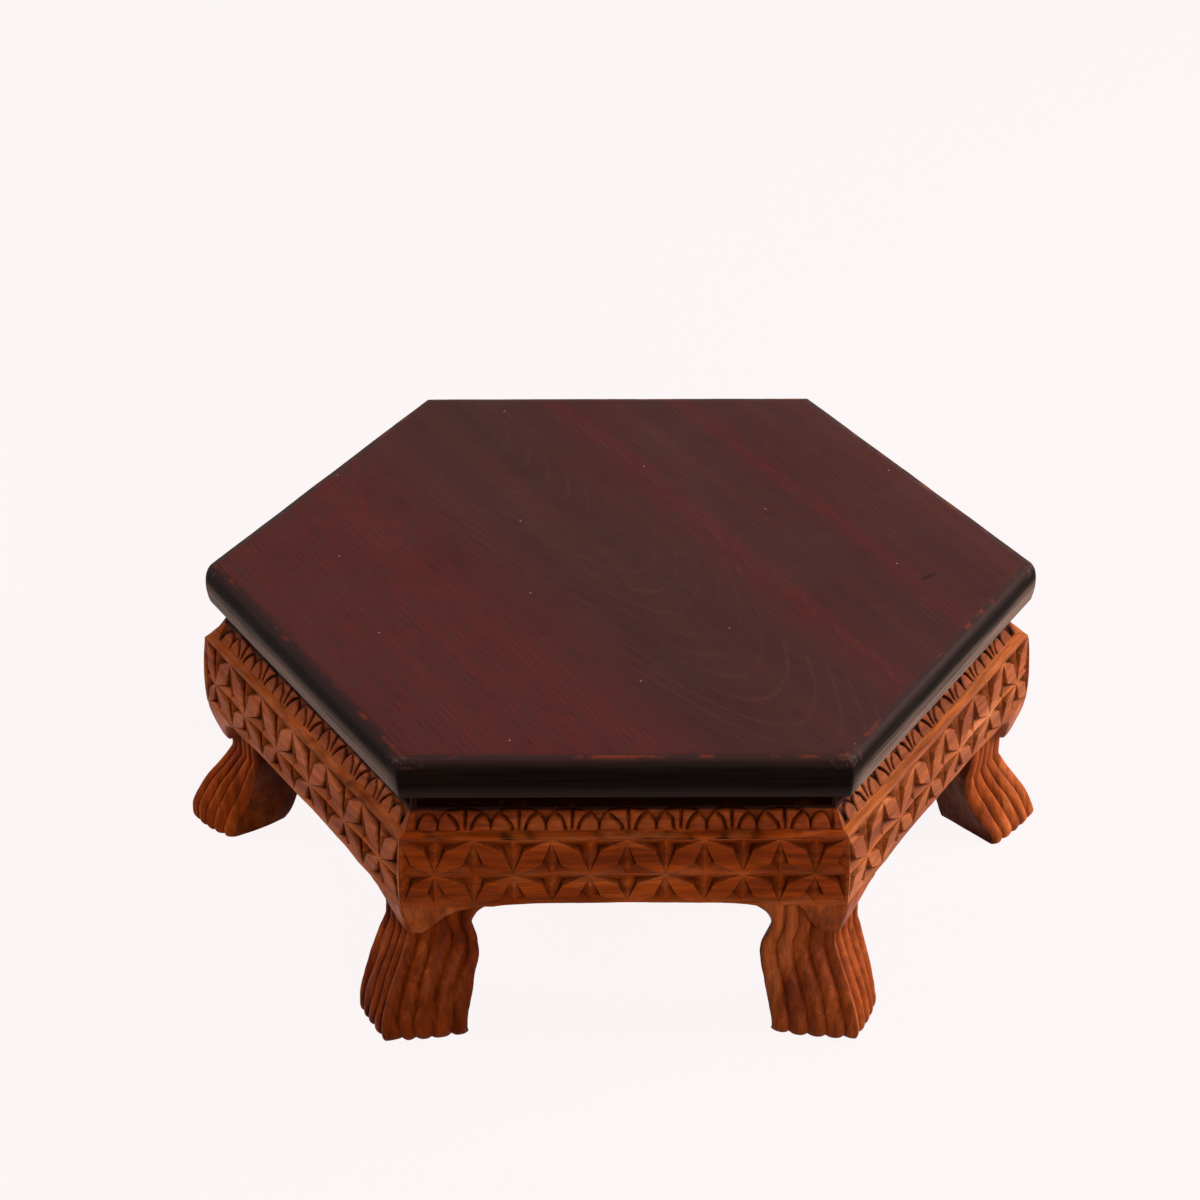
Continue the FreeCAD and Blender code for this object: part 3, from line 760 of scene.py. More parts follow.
for turn, side in enumerate(rails):
    face = RailFace(side, turn)
    face.draw_outline()
    face.draw_lines()
    face.draw_neck()
    face.cut_stars()
    face.fill_plain_parts()
    face.cut_arches()
    piece = solid_piece("carved_rail_" + side, *face.solid(), carved_wood, turn * math.pi / 3)
    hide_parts("rail_" + side)


# Corner legs
# Each leg is one block of the same wood: a smooth knee under the frame's corner, and below it a foot
# that flares outward and is gouged into round reeds. A post behind the mitre is dowelled to both rails.
def new_tree(name, numbers, material_name):
    """A geometry tree with its named inputs, and what they bring."""
    tree = bpy.data.node_groups.new(name, "GeometryNodeTree")
    tree.interface.new_socket("Geometry", in_out="INPUT", socket_type="NodeSocketGeometry")
    tree.interface.new_socket("Geometry", in_out="OUTPUT", socket_type="NodeSocketGeometry")
    for label, start in numbers.items():
        socket = tree.interface.new_socket(label, in_out="INPUT", socket_type="NodeSocketFloat")
        socket.default_value = start
    tree.interface.new_socket(material_name, in_out="INPUT", socket_type="NodeSocketMaterial")
    return tree, {socket.name: Amount(tree, socket) for socket in node(tree, "NodeGroupInput").outputs}


def finish_tree(tree, geometry, material):
    """Ends a tree with real geometry of one material."""
    real = node(tree, "GeometryNodeRealizeInstances", {0: geometry})
    done = node(tree, "GeometryNodeSetMaterial", {"Geometry": real, "Material": material})
    node(tree, "NodeGroupOutput", {0: done})


def vector(tree, *parts):
    """A place or direction from its parts."""
    return node(tree, "ShaderNodeCombineXYZ", enumerate(parts))


def parts_of(tree, place):
    """The three parts of a place."""
    return [Amount(tree, part) for part in node(tree, "ShaderNodeSeparateXYZ", {0: place}).outputs]


def between(first, last, share):
    """The amount at a share of the way from the first to the last."""
    return (last - first) * share + first


def fine_noise(tree, detail, *place):
    """Soft noise at a place inside a geometry tree."""
    inputs = {"Vector": vector(tree, *place), "Scale": 1.0, "Detail": detail}
    return Amount(tree, node(tree, "ShaderNodeTexNoise", inputs))


# How the foot's measures pass from the floor (0) to the knee (1)
foot_curves = {
    "reach": (
        (0, 0.96), (0.05, 1), (0.155, 1), (0.22, 0.94), (0.29, 0.83), (0.36, 0.71),
        (0.427, 0.56), (0.495, 0.38), (0.563, 0.21), (0.63, 0.065), (0.67, 0), (1, 0)),
    "spread": (
        (0, 0.9), (0.06, 0.96), (0.15, 1), (0.25, 0.98), (0.375, 0.85),
        (0.5, 0.66), (0.59, 0.38), (0.68, 0.1), (0.74, 0), (1, 0)),
    "floor tuck": ((0, 1), (0.12, 0.6), (0.25, 0.2), (0.4, 0), (1, 0)),
    "middle tuck": (
        (0, 0), (0.08, 0.4), (0.18, 0.82), (0.29, 1), (0.4, 0.8),
        (0.5, 0.4), (0.6, 0.12), (0.75, 0.05), (1, 0.05)),
    "flare": (
        (0, 0), (0.71, 0), (0.755, 0.02), (0.795, 0.1), (0.825, 0.2),
        (0.85, 0.35), (0.875, 0.54), (0.9, 0.72), (0.94, 0.9), (1, 1)),
    "heel": (
        (0, 0), (0.08, 0.2), (0.23, 0.45), (0.38, 0.6), (0.53, 0.7),
        (0.66, 0.78), (0.77, 0.85), (0.89, 0.93), (1, 1)),
}


def reeded_foot_tree():
    """The rule of the foot: reeds run down two wings that leave its corner, and a curved heel joins them."""
    wings = {"Neck wing": 0.0365, "Foot wing": 0.0465, "Floor tuck": 0.008, "Middle tuck": 0.008}
    tree, size = new_tree("reeded_foot", {
        "Height": 0.088, "Neck corner": 0.2385, "Foot corner": 0.2655, "Toe height": 0.006, "Sideways": 0.0,
        **{label + side: length for side in (" left", " right") for label, length in wings.items()},
        "Bracket": 0.0175, "Heel at floor": 0.208, "Heel at neck": 0.191, "Heel bow": 0.3,
        "First reed": 0.14, "Reeds": 4.0, "Reed depth": 0.0027, "Wander": 0.05, "Seed": 0.0,
    }, "Wood")

    def calc(operation, *values, clamp=False):
        return figure(tree, operation, *values, clamp=clamp)

    def sided(label):
        """The left or the right wing's own size."""
        return between(size[label + " left"], size[label + " right"], right_side)

    def from_corner(along, inward):
        """The plan of a place so far along a wing from its corner and so far in from it."""
        return corner - along * 0.5 - inward * cos30, along * cos30 - inward * 0.5

    # The net: across it from wing to wing and up it from the floor, and one more row that closes each end
    around, up = 301, 76
    grid = node(tree, "GeometryNodeMeshGrid", {
        "Size X": 2.0, "Size Y": 1.0, "Vertices X": around, "Vertices Y": up})
    signed, row, _ = parts_of(tree, node(tree, "GeometryNodeInputPosition"))
    across = calc("ABSOLUTE", signed)
    side = calc("SIGN", signed)
    row = row + 0.5
    margin = 1 / (up - 1)
    even = remap(row, margin, 1 - margin)
    rise = even - calc("SINE", even * math.tau) * 0.08
    open_row = calc("GREATER_THAN", row, margin / 2) * calc("LESS_THAN", row, 1 - margin / 2)
    right_side = calc("GREATER_THAN", side, 0.0)
    # How far out, how wide and how deep the foot is at each height
    shapes = {}
    for label, places in foot_curves.items():
        height = rise + 0.12 - size["Toe height"] / size["Height"] if label == "reach" else rise
        shape = node(tree, "ShaderNodeFloatCurve", {"Value": height})
        points = shape.mapping.curves[0].points
        points[0].location = places[0]
        points[1].location = places[-1]
        for place in places[1:-1]:
            points.new(*place)
        shape.mapping.update()
        shapes[label] = shape
    # The toes are rounded under just above the floor
    near_floor = calc("SUBTRACT", 1.0, rise * size["Height"] / 0.005, clamp=True)
    corner = between(size["Neck corner"], size["Foot corner"], shapes["reach"])
    corner = corner - near_floor * near_floor * 0.0022
    wing = between(sided("Neck wing"), sided("Foot wing"), shapes["spread"])
    tuck = sided("Floor tuck") * shapes["floor tuck"] + sided("Middle tuck") * shapes["middle tuck"]
    bracket = size["Bracket"] * shapes["flare"]
    heel = between(size["Heel at floor"], size["Heel at neck"], shapes["heel"])
    # Share of the way along a wing, which the gouge follows a little unevenly
    wing_part = 0.72
    share = calc("DIVIDE", across, wing_part, clamp=True)
    wander = fine_noise(tree, 1.0, share * 3.2, rise * 2.4, side * 3.7 + size["Seed"])
    window = share * (1.0 - share) * 4.0
    gouged = share + (wander - 0.5) * 2.0 * (window * size["Wander"])
    reed_width = (1.0 - size["First reed"]) / size["Reeds"]
    along_reed = calc("FRACT", (gouged - size["First reed"]) / reed_width)
    reed_side = calc("ABSOLUTE", along_reed * 2.0 - 1.0)
    corner_side = calc("DIVIDE", gouged, size["First reed"], clamp=True)
    off_crest = between(reed_side, corner_side, calc("LESS_THAN", gouged, size["First reed"]))
    # Where the hand wanders, the grooves also run deep and shallow in turn
    uneven = fine_noise(tree, 1.0, share * 3.0, rise * 4.5, side * 5.1 + size["Seed"])
    uneven = (uneven - 0.5) * 9.0 * size["Wander"] + 1.0
    groove = calc("POWER", off_crest, 2.5) * node(tree, "ShaderNodeClamp", {0: uneven, 1: 0.45, 2: 1.12})
    # Place on the wing, in plan
    outermost = calc("MULTIPLY_ADD", share, 5.0, -4.0, clamp=True)
    along = bracket * (outermost * outermost) + wing * share
    wing_x, wing_y = from_corner(along, tuck * (share * share) + groove * size["Reed depth"])
    # Place on the heel: a bowed line from the wing's end to the middle of the back
    end_x, end_y = from_corner(wing + bracket, tuck + size["Reed depth"])
    gone = remap(across, wing_part, 1.0)
    left = 1.0 - gone
    bow_x = between(heel, end_x, size["Heel bow"] * -0.4 + 0.5)
    bow_y = end_y * (size["Heel bow"] * 0.2 + 0.5)
    heel_x = left * left * end_x + left * gone * 2.0 * bow_x + gone * gone * heel
    heel_y = left * left * end_y + left * gone * 2.0 * bow_y
    on_heel = calc("GREATER_THAN", across, wing_part)
    # A little waviness left by the gouge, and the closing rows drawn to the middle
    rough = fine_noise(tree, 2.0, signed * 6.0, rise * 7.0, size["Seed"] * 1.7)
    keep = ((rough - 0.5) * 0.045 + 1.0) * open_row
    final_x = between((corner + heel) * 0.5, between(wing_x, heel_x, on_heel), keep)
    final_y = between(wing_y, heel_y, on_heel) * side * keep + size["Sideways"]
    final_z = rise * size["Height"]
    # Keep the groove's depth, which paints shade into the grooves and over the whole heel, and the way
    # of the grain for the wood's pattern
    worked = grid
    for label, kind, value in (
        ("cut", "FLOAT", between(groove * groove * 0.75, 0.85, on_heel)),
        ("grain", "FLOAT_VECTOR", vector(tree, final_z, final_x, final_y)),
    ):
        worked = node(tree, "GeometryNodeStoreNamedAttribute", {
            "Geometry": worked, "Name": label, "Value": value}, data_type=kind, domain="POINT")
    worked = node(tree, "GeometryNodeSetPosition", {
        "Geometry": worked, "Position": vector(tree, final_x, final_y, final_z)})
    worked = node(tree, "GeometryNodeMergeByDistance", {"Geometry": worked, "Distance": 0.00001})
    finish_tree(tree, worked, size["Wood"])
    return tree


def grown_mesh(tree, sizes, seed_mesh=None):
    """The plain mesh that a tree makes with the named sizes."""
    holder = linked("holder", seed_mesh or bpy.data.meshes.new("holder"))
    growth = holder.modifiers.new("growth", "NODES")
    growth.node_group = tree
    sockets = {item.name: item.identifier for item in tree.interface.items_tree if item.in_out == "INPUT"}
    for label, value in sizes.items():
        growth[sockets[label]] = value
    bpy.context.view_layer.update()
    settled = holder.evaluated_get(bpy.context.evaluated_depsgraph_get())
    mesh = bpy.data.meshes.new_from_object(settled)
    holder.modifiers.remove(growth)
    bpy.data.objects.remove(holder)
    return mesh


# How the knee's lower line falls along a rail, by the share of its run
knee_falls = {
    "long": ((0, 0.16, 0.26, 0.42, 0.59, 0.79, 1), (1, 1, 0.86, 0.59, 0.31, 0.12, 0.02)),
    "short": ((0, 0.2, 0.4, 0.69, 0.88, 1), (1, 0.99, 0.89, 0.5, 0.14, 0.02)),
}


def closed_net(rows, back_rows):
    """Points and faces of a shell whose front and back are nets of the same size, joined round their rim."""
    high = len(rows)
    wide = len(rows[0])
    points = [point for row in rows + back_rows for point in row]
    offset = high * wide
    faces = []
    for i in range(high - 1):
        for j in range(wide - 1):
            a = i * wide + j
            faces.append([a, a + 1, a + wide + 1, a + wide])
            faces.append([offset + a, offset + a + wide, offset + a + wide + 1, offset + a + 1])
    rim = list(range(wide)) + [i * wide + wide - 1 for i in range(1, high)]
    rim += [(high - 1) * wide + j for j in range(wide - 2, -1, -1)]
    rim += [i * wide for i in range(high - 2, 0, -1)]
    for a, b in zip(rim, rim[1:] + rim[:1]):
        faces.append([b, a, offset + a, offset + b])
    return points, faces


def knee_net(fullness, knee_drop, runs, falls, shift):
    """The smooth cap over both wings, thick enough to bed in the foot behind it."""
    left = [-runs[0] * share for share in np.linspace(1, 0, 26)]
    right = [runs[1] * share for share in np.linspace(0, 1, 26)[1:]]
    rows = []
    backs = []
    steps = (0, 0.2, 0.4, 0.6, 0.8, 0.93, 1.0, 1.0)
    # The last rows round the cap's lower edge in
    rounding = (0, 0, 0, 0, 0, 0, 0.25, 0.9)
    lowering = (0, 0, 0, 0, 0, 0, 0, 0.5)
    for step, rounded, low in zip(steps, rounding, lowering):
        row = []
        back = []
        for along in left + right:
            side = 0 if along < 0 else 1
            drop = knee_drop * float(np.interp(abs(along) / runs[side], *knee_falls[falls[side]])) * step
            plane = 219.7 - 8.6 * (drop / 27) ** 1.4 + fullness
            wave = 0.35 * waviness(shift, along / 11, drop / 9, 0)
            worn = 0.35 * max(1 - abs(along) / 1.6, 0) + rounded
            z = rail_foot - drop - low
            row.append(((plane + wave - worn) / cos30 - abs(along) * 0.5, along * cos30, z))
            back.append(((plane - 12) / cos30 - abs(along) * 0.5 * 0.95, along * cos30 * 0.95, z))
        rows.append(row)
        backs.append(back)
    return closed_net(rows, backs)


def post_prism():
    """The upright post behind the mitre, with its edges eased."""
    reach = rail_back / cos30
    width = 29
    aside = width * cos30
    plan = [(reach, 0), (reach - width / 2, aside), (reach - width, 0), (reach - width / 2, -aside)]
    ring = []
    for index, (x, y) in enumerate(plan):
        for other_x, other_y in (plan[index - 1], plan[(index + 1) % 4]):
            run = math.hypot(other_x - x, other_y - y)
            ring.append((x + (other_x - x) / run, y + (other_y - y) / run))
    points = [(x, y, z) for z in (81.0, rail_head) for x, y in ring]
    count = len(ring)
    faces = [[i, (i + 1) % count, count + (i + 1) % count, count + i] for i in range(count)]
    faces += [list(range(count))[::-1], list(range(count, 2 * count))]
    return points, faces


foot_tree = reeded_foot_tree()
knee_golden = 0.46
# Each leg's corner (neck, foot, toe height, sideways), its left and its right wing (neck, foot, floor
# tuck, middle tuck), its heel (floor, bow), its reeds (first, wander), its knee (drop, runs, falls), and
# how golden its foot is and how much darker the whole foot is painted
legs = {
    "leg_right": (
        (236.9, 261.8, 0, 0), (34, 42.5, 5.5, 11.5), (33, 38, 8, 12), (203.5, 0.0), (0.16, 0.03),
        (26, (34, 36), ("long", "long")), 0.5, 0),
    "leg_back_right": (
        (239, 266, 5, 0), (33, 41, 8, 10), (33, 42, 8, 9), (208, 0.3), (0.14, 0.05),
        (26, (36, 40), ("long", "long")), 0.4, 0),
    "leg_back_left": (
        (240.5, 267, 6, 1), (33, 43, 8, 9), (34, 41, 7, 9), (208, 0.4), (0.14, 0.06),
        (26, (41, 37), ("long", "long")), 0.2, 0),
    "leg_left": (
        (242.3, 269.8, 8, 0), (30, 36, 7, 12), (30, 31.5, 9, 16), (212, 0.3), (0.16, 0.05),
        (25, (38, 36), ("long", "long")), 0.0, 0.35),
    "leg_front_left": (
        (240.5, 270.5, 8, -4.5), (30, 37.5, 3, 3), (36.5, 49, 7, 8), (208, 0.4), (0.14, 0.2),
        (23.3, (36, 41), ("long", "long")), 0.0, 0.6),
    "leg_front_right": (
        (240, 267.5, 4, 1.5), (36.5, 50, 8, 8), (32.5, 37, 6, 4), (208, 0.4), (0.14, 0.03),
        (25.3, (27, 36), ("short", "long")), 0.35, 0.15),
}
corner_labels = ("Neck corner", "Foot corner", "Toe height", "Sideways")
wing_labels = ("Neck wing", "Foot wing", "Floor tuck", "Middle tuck")
for index, (leg_name, measures) in enumerate(legs.items()):
    corners, left_wing, right_wing, (heel_foot, heel_bow), reeds, knee, foot_golden, foot_darkening = measures
    shift = own_shift(random.Random(leg_name))
    sizes = dict(zip(corner_labels, corners))
    sizes.update({label + " left": length for label, length in zip(wing_labels, left_wing)})
    sizes.update({label + " right": length for label, length in zip(wing_labels, right_wing)})
    sizes["Heel at floor"] = heel_foot
    sizes = {label: length * mm for label, length in sizes.items()}
    sizes.update({"Heel bow": heel_bow, "First reed": reeds[0], "Wander": reeds[1], "Seed": index * 7.0 + 3})
    foot_mesh = grown_mesh(foot_tree, {**sizes, "Wood": carved_wood})
    groove_values = np.zeros(len(foot_mesh.vertices), np.float32)
    foot_mesh.attributes["cut"].data.foreach_get("value", groove_values)
    points = [tuple(vertex.co / mm) for vertex in foot_mesh.vertices]
    faces = [list(face.vertices) for face in foot_mesh.polygons]
    cuts = list(np.maximum(groove_values, foot_darkening))
    golden = [foot_golden] * len(points)
    for more_points, more_faces in (knee_net(corner_fullness[index * 60], *knee, shift), post_prism()):
        start = len(points)
        points += more_points
        faces += [[start + corner for corner in face] for face in more_faces]
        cuts += [0.0] * len(more_points)
        golden += [knee_golden] * len(more_points)
    grain = [(z + shift.x, x + shift.y, y + shift.z) for x, y, z in points]
    turn = index * math.pi / 3
    piece = solid_piece("carved_" + leg_name, points, faces, cuts, grain, golden, carved_wood, turn, 40)
    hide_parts(leg_name)


# Top boards
# Three thick boards glued edge to edge, stained dark red-brown and waxed. The moulded edge is
# blackened, and its upper corner is rubbed through to the wood here and there.
def top_wood_finish():
    """Stained, waxed hardwood with quiet figure, and a blackened edge rubbed along its upper line."""
    material, tree = new_material("stained_waxed_hardwood")
    grain = kept(tree, "grain", "Vector")
    edge = kept(tree, "cut")
    place = object_place(tree)
    # Broad quiet bands along the grain, about 25 mm wide
    bands = cloudy(grain, (2.0, 38, 38), 5.0, 0.55, 0.3)
    wood = graded(bands, (0.3, linear("#331C1B")), (0.74, linear("#44221D")))
    # Redder wood over the left board and in two streaks to the right of the middle, by the distance
    # across the grain
    aslant = node(tree, "ShaderNodeVectorMath", {0: place, 1: (cos30, 0.5, 0)}, operation="DOT_PRODUCT")
    bent = cloudy(place, (5, 5, 5), 2.0) * 0.02 + aslant
    redder = graded(remap(bent, -0.21, 0.23), *((at, (red, red, red, 1)) for at, red in (
        (0, 0.5), (0.25, 0.7), (0.36, 0.25), (0.45, 0.0), (0.61, 0.05), (0.66, 0.6),
        (0.69, 0.1), (0.79, 0.05), (0.82, 0.65), (0.85, 0.1), (1, 0.15))))
    flecks = remap(cloudy(grain, (42, 150, 150), 3.0), 0.36, 0.7, 0.35, 0.95)
    wood = blend(flecks * redder, wood, linear("#581C18"))
    # Growth rings: the log lay a little aslant in the board, so that its rings make long tongues
    along, across, _ = parts_of(tree, grain)
    depth = cloudy(grain, (3, 8, 8), 2.0, 0.4) * 0.02 + (along * -0.15 + 0.06)
    rings = figure(tree, "POWER", depth * depth + across * across, 0.5) * 500.0
    ring = figure(tree, "POWER", figure(tree, "PINGPONG", rings, 1.0), 9.0)
    faint = remap(cloudy(grain, (9, 30, 30), 1.0, shift=(1.3, 0.2, 2.1)), 0.38, 0.64, 0.0, 0.2)
    wood = blend(ring * faint, wood, linear("#6A4034"))
    # Fine dark pores
    pores = remap(cloudy(grain, (40, 1000, 1000), 3.0), 0.5, 0.7, 0.0, 0.45)
    wood = blend(pores, wood, linear("#2A1213"))
    # A few pale specks of dust held in the wax
    cells = place.through("ShaderNodeTexVoronoi", {"Vector": place, "Scale": 9.5}, voronoi_dimensions="2D")
    wood = blend(remap(cells, 0.0035, 0.0062, 0.6, 0.0), wood, linear("#B09A94"))
    # A short dark dent lies near the right-hand corner
    in_dent = node(tree, "ShaderNodeMapping", {
        "Vector": place, "Location": (0.1845, -0.0186, 0.186), "Rotation": (0, 0, math.radians(38)),
        "Scale": (0.0105, 0.0026, 0.03)}, vector_type="TEXTURE")
    from_dent = node(tree, "ShaderNodeVectorMath", {0: in_dent}, operation="LENGTH")
    ragged = cloudy(place, (420, 420, 420), 2.0) * 0.9 + from_dent
    wood = blend(remap(ragged, 0.85, 1.3, 0.7, 0.0), wood, linear("#160B0A"))
    # Blackened edge: brownish streaks run along it, and its upper rounding is a warmer, lighter charcoal
    sideways, _, height = parts_of(tree, place)
    scuffs = cloudy(place, (14, 14, 520), 5.0, 0.68)
    scuffed = remap(scuffs, 0.38, 0.68)
    black = blend(scuffed, linear("#080402"), linear("#1C100C"))
    black = blend(remap(edge, 0.68, 0.86, 0.8, 0.0), black, linear("#382523"))
    # Painted sheen: the lower rounding is painted lighter, standing in for the pale floor's reflection; the
    # same share raises its real gloss below
    lower = remap(height, 0.1635, 0.1695, 0.45, 0.0)
    black = blend(lower, black, linear("#30221B"))
    spots = cloudy(place, (45, 45, 120), 5.0, 0.65)
    wood = blend(remap(spots * 0.35 + edge, 0.52, 0.68), wood, black)
    near_line = remap(figure(tree, "ABSOLUTE", edge - 0.56), 0.03, 0.14, 1.0, 0.0)
    worn = remap(spots, 0.5, 0.62, 0.0, 0.9) * near_line
    wood = blend(worn, wood, linear("#6E2E1E"))
    # Painted sheen: the lower half of the edge on both sides is painted a streaky light grey, standing in
    # for the reflection of the pale floor
    at_side = remap(figure(tree, "ABSOLUTE", sideways), 0.126, 0.134)
    lower_half_sheen = remap(height, 0.169, 0.1765, 1.0, 0.0)
    grey = remap(scuffs, 0.4, 0.6, 0.3, 1.0)
    wood = blend(lower_half_sheen * at_side * grey, wood, linear("#7A5F52"))
    # The corners are handled most, and rubbed paler
    level = place.through("ShaderNodeVectorMath", {0: place, 1: (1, 1, 0)}, operation="MULTIPLY")
    from_axis = level.through("ShaderNodeVectorMath", {0: level}, operation="LENGTH")
    tip = remap(from_axis, 0.2425, 0.2505) * remap(height, 0.1795, 0.1835)
    grit = remap(cloudy(place, (330, 330, 330), 4.0, 0.7), 0.5, 0.62, 0.0, 0.85)
    wood = blend(tip * grit, wood, linear("#5F3D38"))
    roughness = scuffed * 0.15 + remap(edge, 0.3, 0.7, 0.5, 0.42)
    gloss = lower * 0.08 + remap(edge, 0.3, 0.75, 0.045, 0.02)
    bump = bumped(tree, 0.2, 0.0003, scuffs - pores)
    surfaced(tree, wood, roughness, **{"Normal": bump, "Specular IOR Level": gloss})
    return material


top_wood = top_wood_finish()
# The slab: from its middle to a side, its upper and lower faces, the height where its edge stands out most,
# and how far up and in the rounding over that height goes
top_flat = 254 * cos30
top_height = 186.0
top_foot = 161.0
belly = 174.5
corner_rise = 10.9
nose = 6.7
# The edge's section: how far in from the side, the height, and how far it lies over the edge
edge_section = [
    (60, top_height, 0.0), (20, top_height, 0.0), (12, top_height, 0.05),
    (9.0, 185.95, 0.3), (7.6, 185.8, 0.45), (nose, 185.4, 0.55),
]
for step in range(1, 9):
    angle = step / 8 * math.pi / 2
    inset = nose * (1 - math.sin(angle)) * 0.93
    edge_section.append((inset, belly + corner_rise * math.cos(angle), 0.6 + 0.4 * step / 8))
for step in range(1, 6):
    edge_section.append((2.0 * (step / 5) ** 2, belly - (belly - top_foot) * step / 5, 1.0))
edge_section += [(3.0, top_foot, 1.0), (60, top_foot, 0.3)]
# The front corners are still crisp, the others worn rounder
corner_radii = (9.0, 6.0, 6.0, 9.0, 2.5, 2.5)


def hexagon_ring(inset):
    """Points round the hexagon at an inset from its sides, with rounded corners."""
    half = top_flat - inset
    arcs = []
    for corner, rounding in enumerate(corner_radii):
        angle = math.radians(60 * corner)
        radius = max(rounding - inset, 0.6)
        middle = Vector((math.cos(angle), math.sin(angle))) * ((half - radius) / cos30)
        turns = [angle + math.radians(-30 + 10 * step) for step in range(7)]
        arcs.append([middle + Vector((math.cos(turn), math.sin(turn))) * radius for turn in turns])
    ring = []
    for arc, following in zip(arcs, arcs[1:] + arcs[:1]):
        ring += arc
        ring += [arc[-1].lerp(following[0], step / 60) for step in range(1, 60)]
    return ring


slab = bmesh.new()
edge_layer = slab.verts.layers.float.new("edge")
rings = []
for inset, height, over in edge_section:
    ring = []
    for x, y in hexagon_ring(inset):
        dent = 0
        if top_foot < height < 185.97:
            dent = 0.3 * noise.noise(Vector((x / 26, y / 26, height / 9)))
            dent += 0.12 * noise.noise(Vector((x / 6, y / 6, height / 5)))
        spread = 1 + dent / top_flat
        vertex = slab.verts.new((x * spread, y * spread, height))
        vertex[edge_layer] = over
        ring.append(vertex)
    rings.append(ring)
for ring, below in zip(rings, rings[1:]):
    for index in range(len(ring)):
        after = (index + 1) % len(ring)
        slab.faces.new([ring[index], ring[after], below[after], below[index]])
slab.faces.new(rings[0])
slab.faces.new(rings[-1][::-1])
bmesh.ops.recalc_face_normals(slab, faces=slab.faces)
board_way = Matrix.Rotation(math.radians(30), 3, "Z")
seam = top_flat / 3
# Each board's limits across the grain, and where the heart of its log lay
for board_name, limits, heart in (
    ("top_board_left", ((-seam, 1),), (-520, 240)),
    ("top_board_middle", ((-seam, -1), (seam, 1)), (2, 40)),
    ("top_board_right", ((seam, -1),), (560, -260)),
):
    board = slab.copy()
    for limit, away in limits:
        cut = bmesh.ops.bisect_plane(
            board, geom=board.verts[:] + board.edges[:] + board.faces[:], clear_outer=True, dist=1e-5,
            plane_co=board_way @ Vector((limit, 0, 0)), plane_no=board_way @ Vector((away, 0, 0)))
        rim = [item for item in cut["geom_cut"] if isinstance(item, bmesh.types.BMEdge)]
        bmesh.ops.holes_fill(board, edges=rim)
    board.verts.ensure_lookup_table()
    board.verts.index_update()
    layer = board.verts.layers.float["edge"]
    points = [tuple(vertex.co) for vertex in board.verts]
    faces = [[vertex.index for vertex in face.verts] for face in board.faces]
    edges = [vertex[layer] for vertex in board.verts]
    board.free()
    grain = []
    for point in points:
        flat = board_way.inverted() @ Vector(point)
        grain.append((flat.y - heart[1], flat.x - heart[0], flat.z - top_height))
    golden = [0.0] * len(points)
    piece = solid_piece("waxed_" + board_name, points, faces, edges, grain, golden, top_wood, 0, 35)
    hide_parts(board_name)
slab.free()


# Screws under the top
# Twelve slotted countersunk steel screws, driven up through the glue blocks into the top. Their
# heads lie flush with the blocks' lower faces.
def plain_steel_finish():
    """Zinc-plated steel, dulled, with fine turning marks."""
    material, tree = new_material("dull_zinc_plated_steel")
    place = object_place(tree)
    marks = cloudy(place, (900, 900, 900), 3.0)
    colour = blend(marks, linear("#8C8C8A"), linear("#B4B4B6"))
    surfaced(tree, colour, remap(marks, 0.3, 0.7, 0.3, 0.5), Metallic=1.0)
    return material


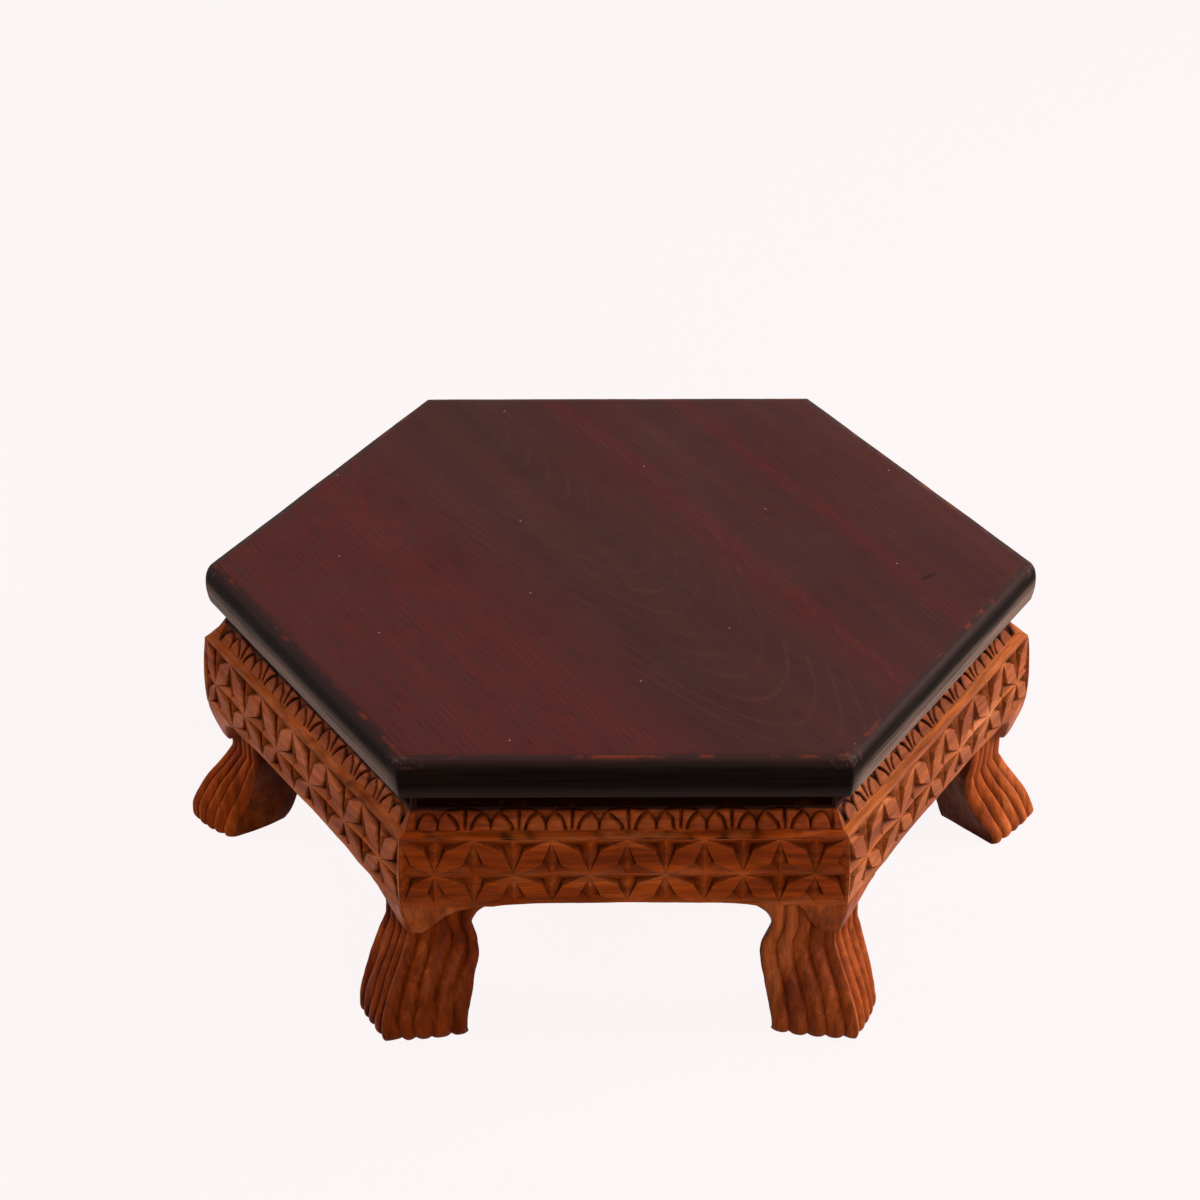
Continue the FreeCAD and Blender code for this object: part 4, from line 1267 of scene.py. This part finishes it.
steel = plain_steel_finish()
tree, size = new_tree("screws", {
    "Length": 0.0325, "Shank radius": 0.00195, "Head radius": 0.004, "Head height": 0.0024,
    "Slot width": 0.001, "Slot depth": 0.0008,
}, "Steel")
head = node(tree, "GeometryNodeMeshCone", {
    "Vertices": 28, "Radius Top": size["Shank radius"], "Radius Bottom": size["Head radius"],
    "Depth": size["Head height"],
})
shank = node(tree, "GeometryNodeMeshCone", {
    "Vertices": 28, "Side Segments": 6, "Radius Top": 0.0009, "Radius Bottom": size["Shank radius"],
    "Depth": size["Length"],
})
shank = node(tree, "GeometryNodeTransform", {"Geometry": shank, "Translation": (0.0, 0.0, 0.0008)})
slot_size = vector(tree, 0.01, size["Slot width"], size["Slot depth"] * 2.0)
slot = node(tree, "GeometryNodeMeshCube", {"Size": slot_size})
whole = node(tree, "GeometryNodeMeshBoolean", operation="UNION", solver="EXACT")
for part in (head, shank):
    tree.links.new(part.outputs[0], whole.inputs[1])
slotted = node(tree, "GeometryNodeMeshBoolean", {0: whole, 1: slot}, operation="DIFFERENCE", solver="EXACT")
turn = node(tree, "FunctionNodeRandomValue", {2: 0.0, 3: 3.1, "Seed": 5}, data_type="FLOAT")
spread = node(tree, "GeometryNodeInstanceOnPoints", {
    "Points": size["Geometry"], "Instance": slotted, "Rotation": vector(tree, 0.0, 0.0, turn),
})
finish_tree(tree, spread, size["Steel"])
screw_places = []
for step in range(6):
    way = Matrix.Rotation(step * math.pi / 3, 3, "Z")
    for across in (-32, 32):
        screw_places.append(way @ Vector((across, -178.4, 137.0)) * mm)
seed_mesh = bpy.data.meshes.new("screw_places")
seed_mesh.from_pydata(screw_places, [], [])
screws = linked("slotted_screws", grown_mesh(tree, {"Steel": steel}, seed_mesh))
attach(screws, "root")
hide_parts("top_screws")


# Dowels and glue blocks
# Plain sawn hardwood that never shows once the table stands: dowels in the joints, and a block
# glued behind each rail under the top.
def sawn_wood_finish():
    """Unfinished hardwood with saw marks across it."""
    material, tree = new_material("sawn_hardwood")
    place = object_place(tree)
    fibre = cloudy(place, (40, 40, 260), 5.0, 0.6)
    colour = blend(fibre, linear("#8E6238"), linear("#C39A66"))
    surfaced(tree, colour, 0.75, Normal=bumped(tree, 0.4, 0.0003, fibre))
    return material


plain_wood = sawn_wood_finish()
for hidden in ["board_dowels", "frame_dowels"] + ["glue_block_" + side for side in rails]:
    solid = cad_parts[hidden]
    solid.data.materials.clear()
    solid.data.materials.append(plain_wood)
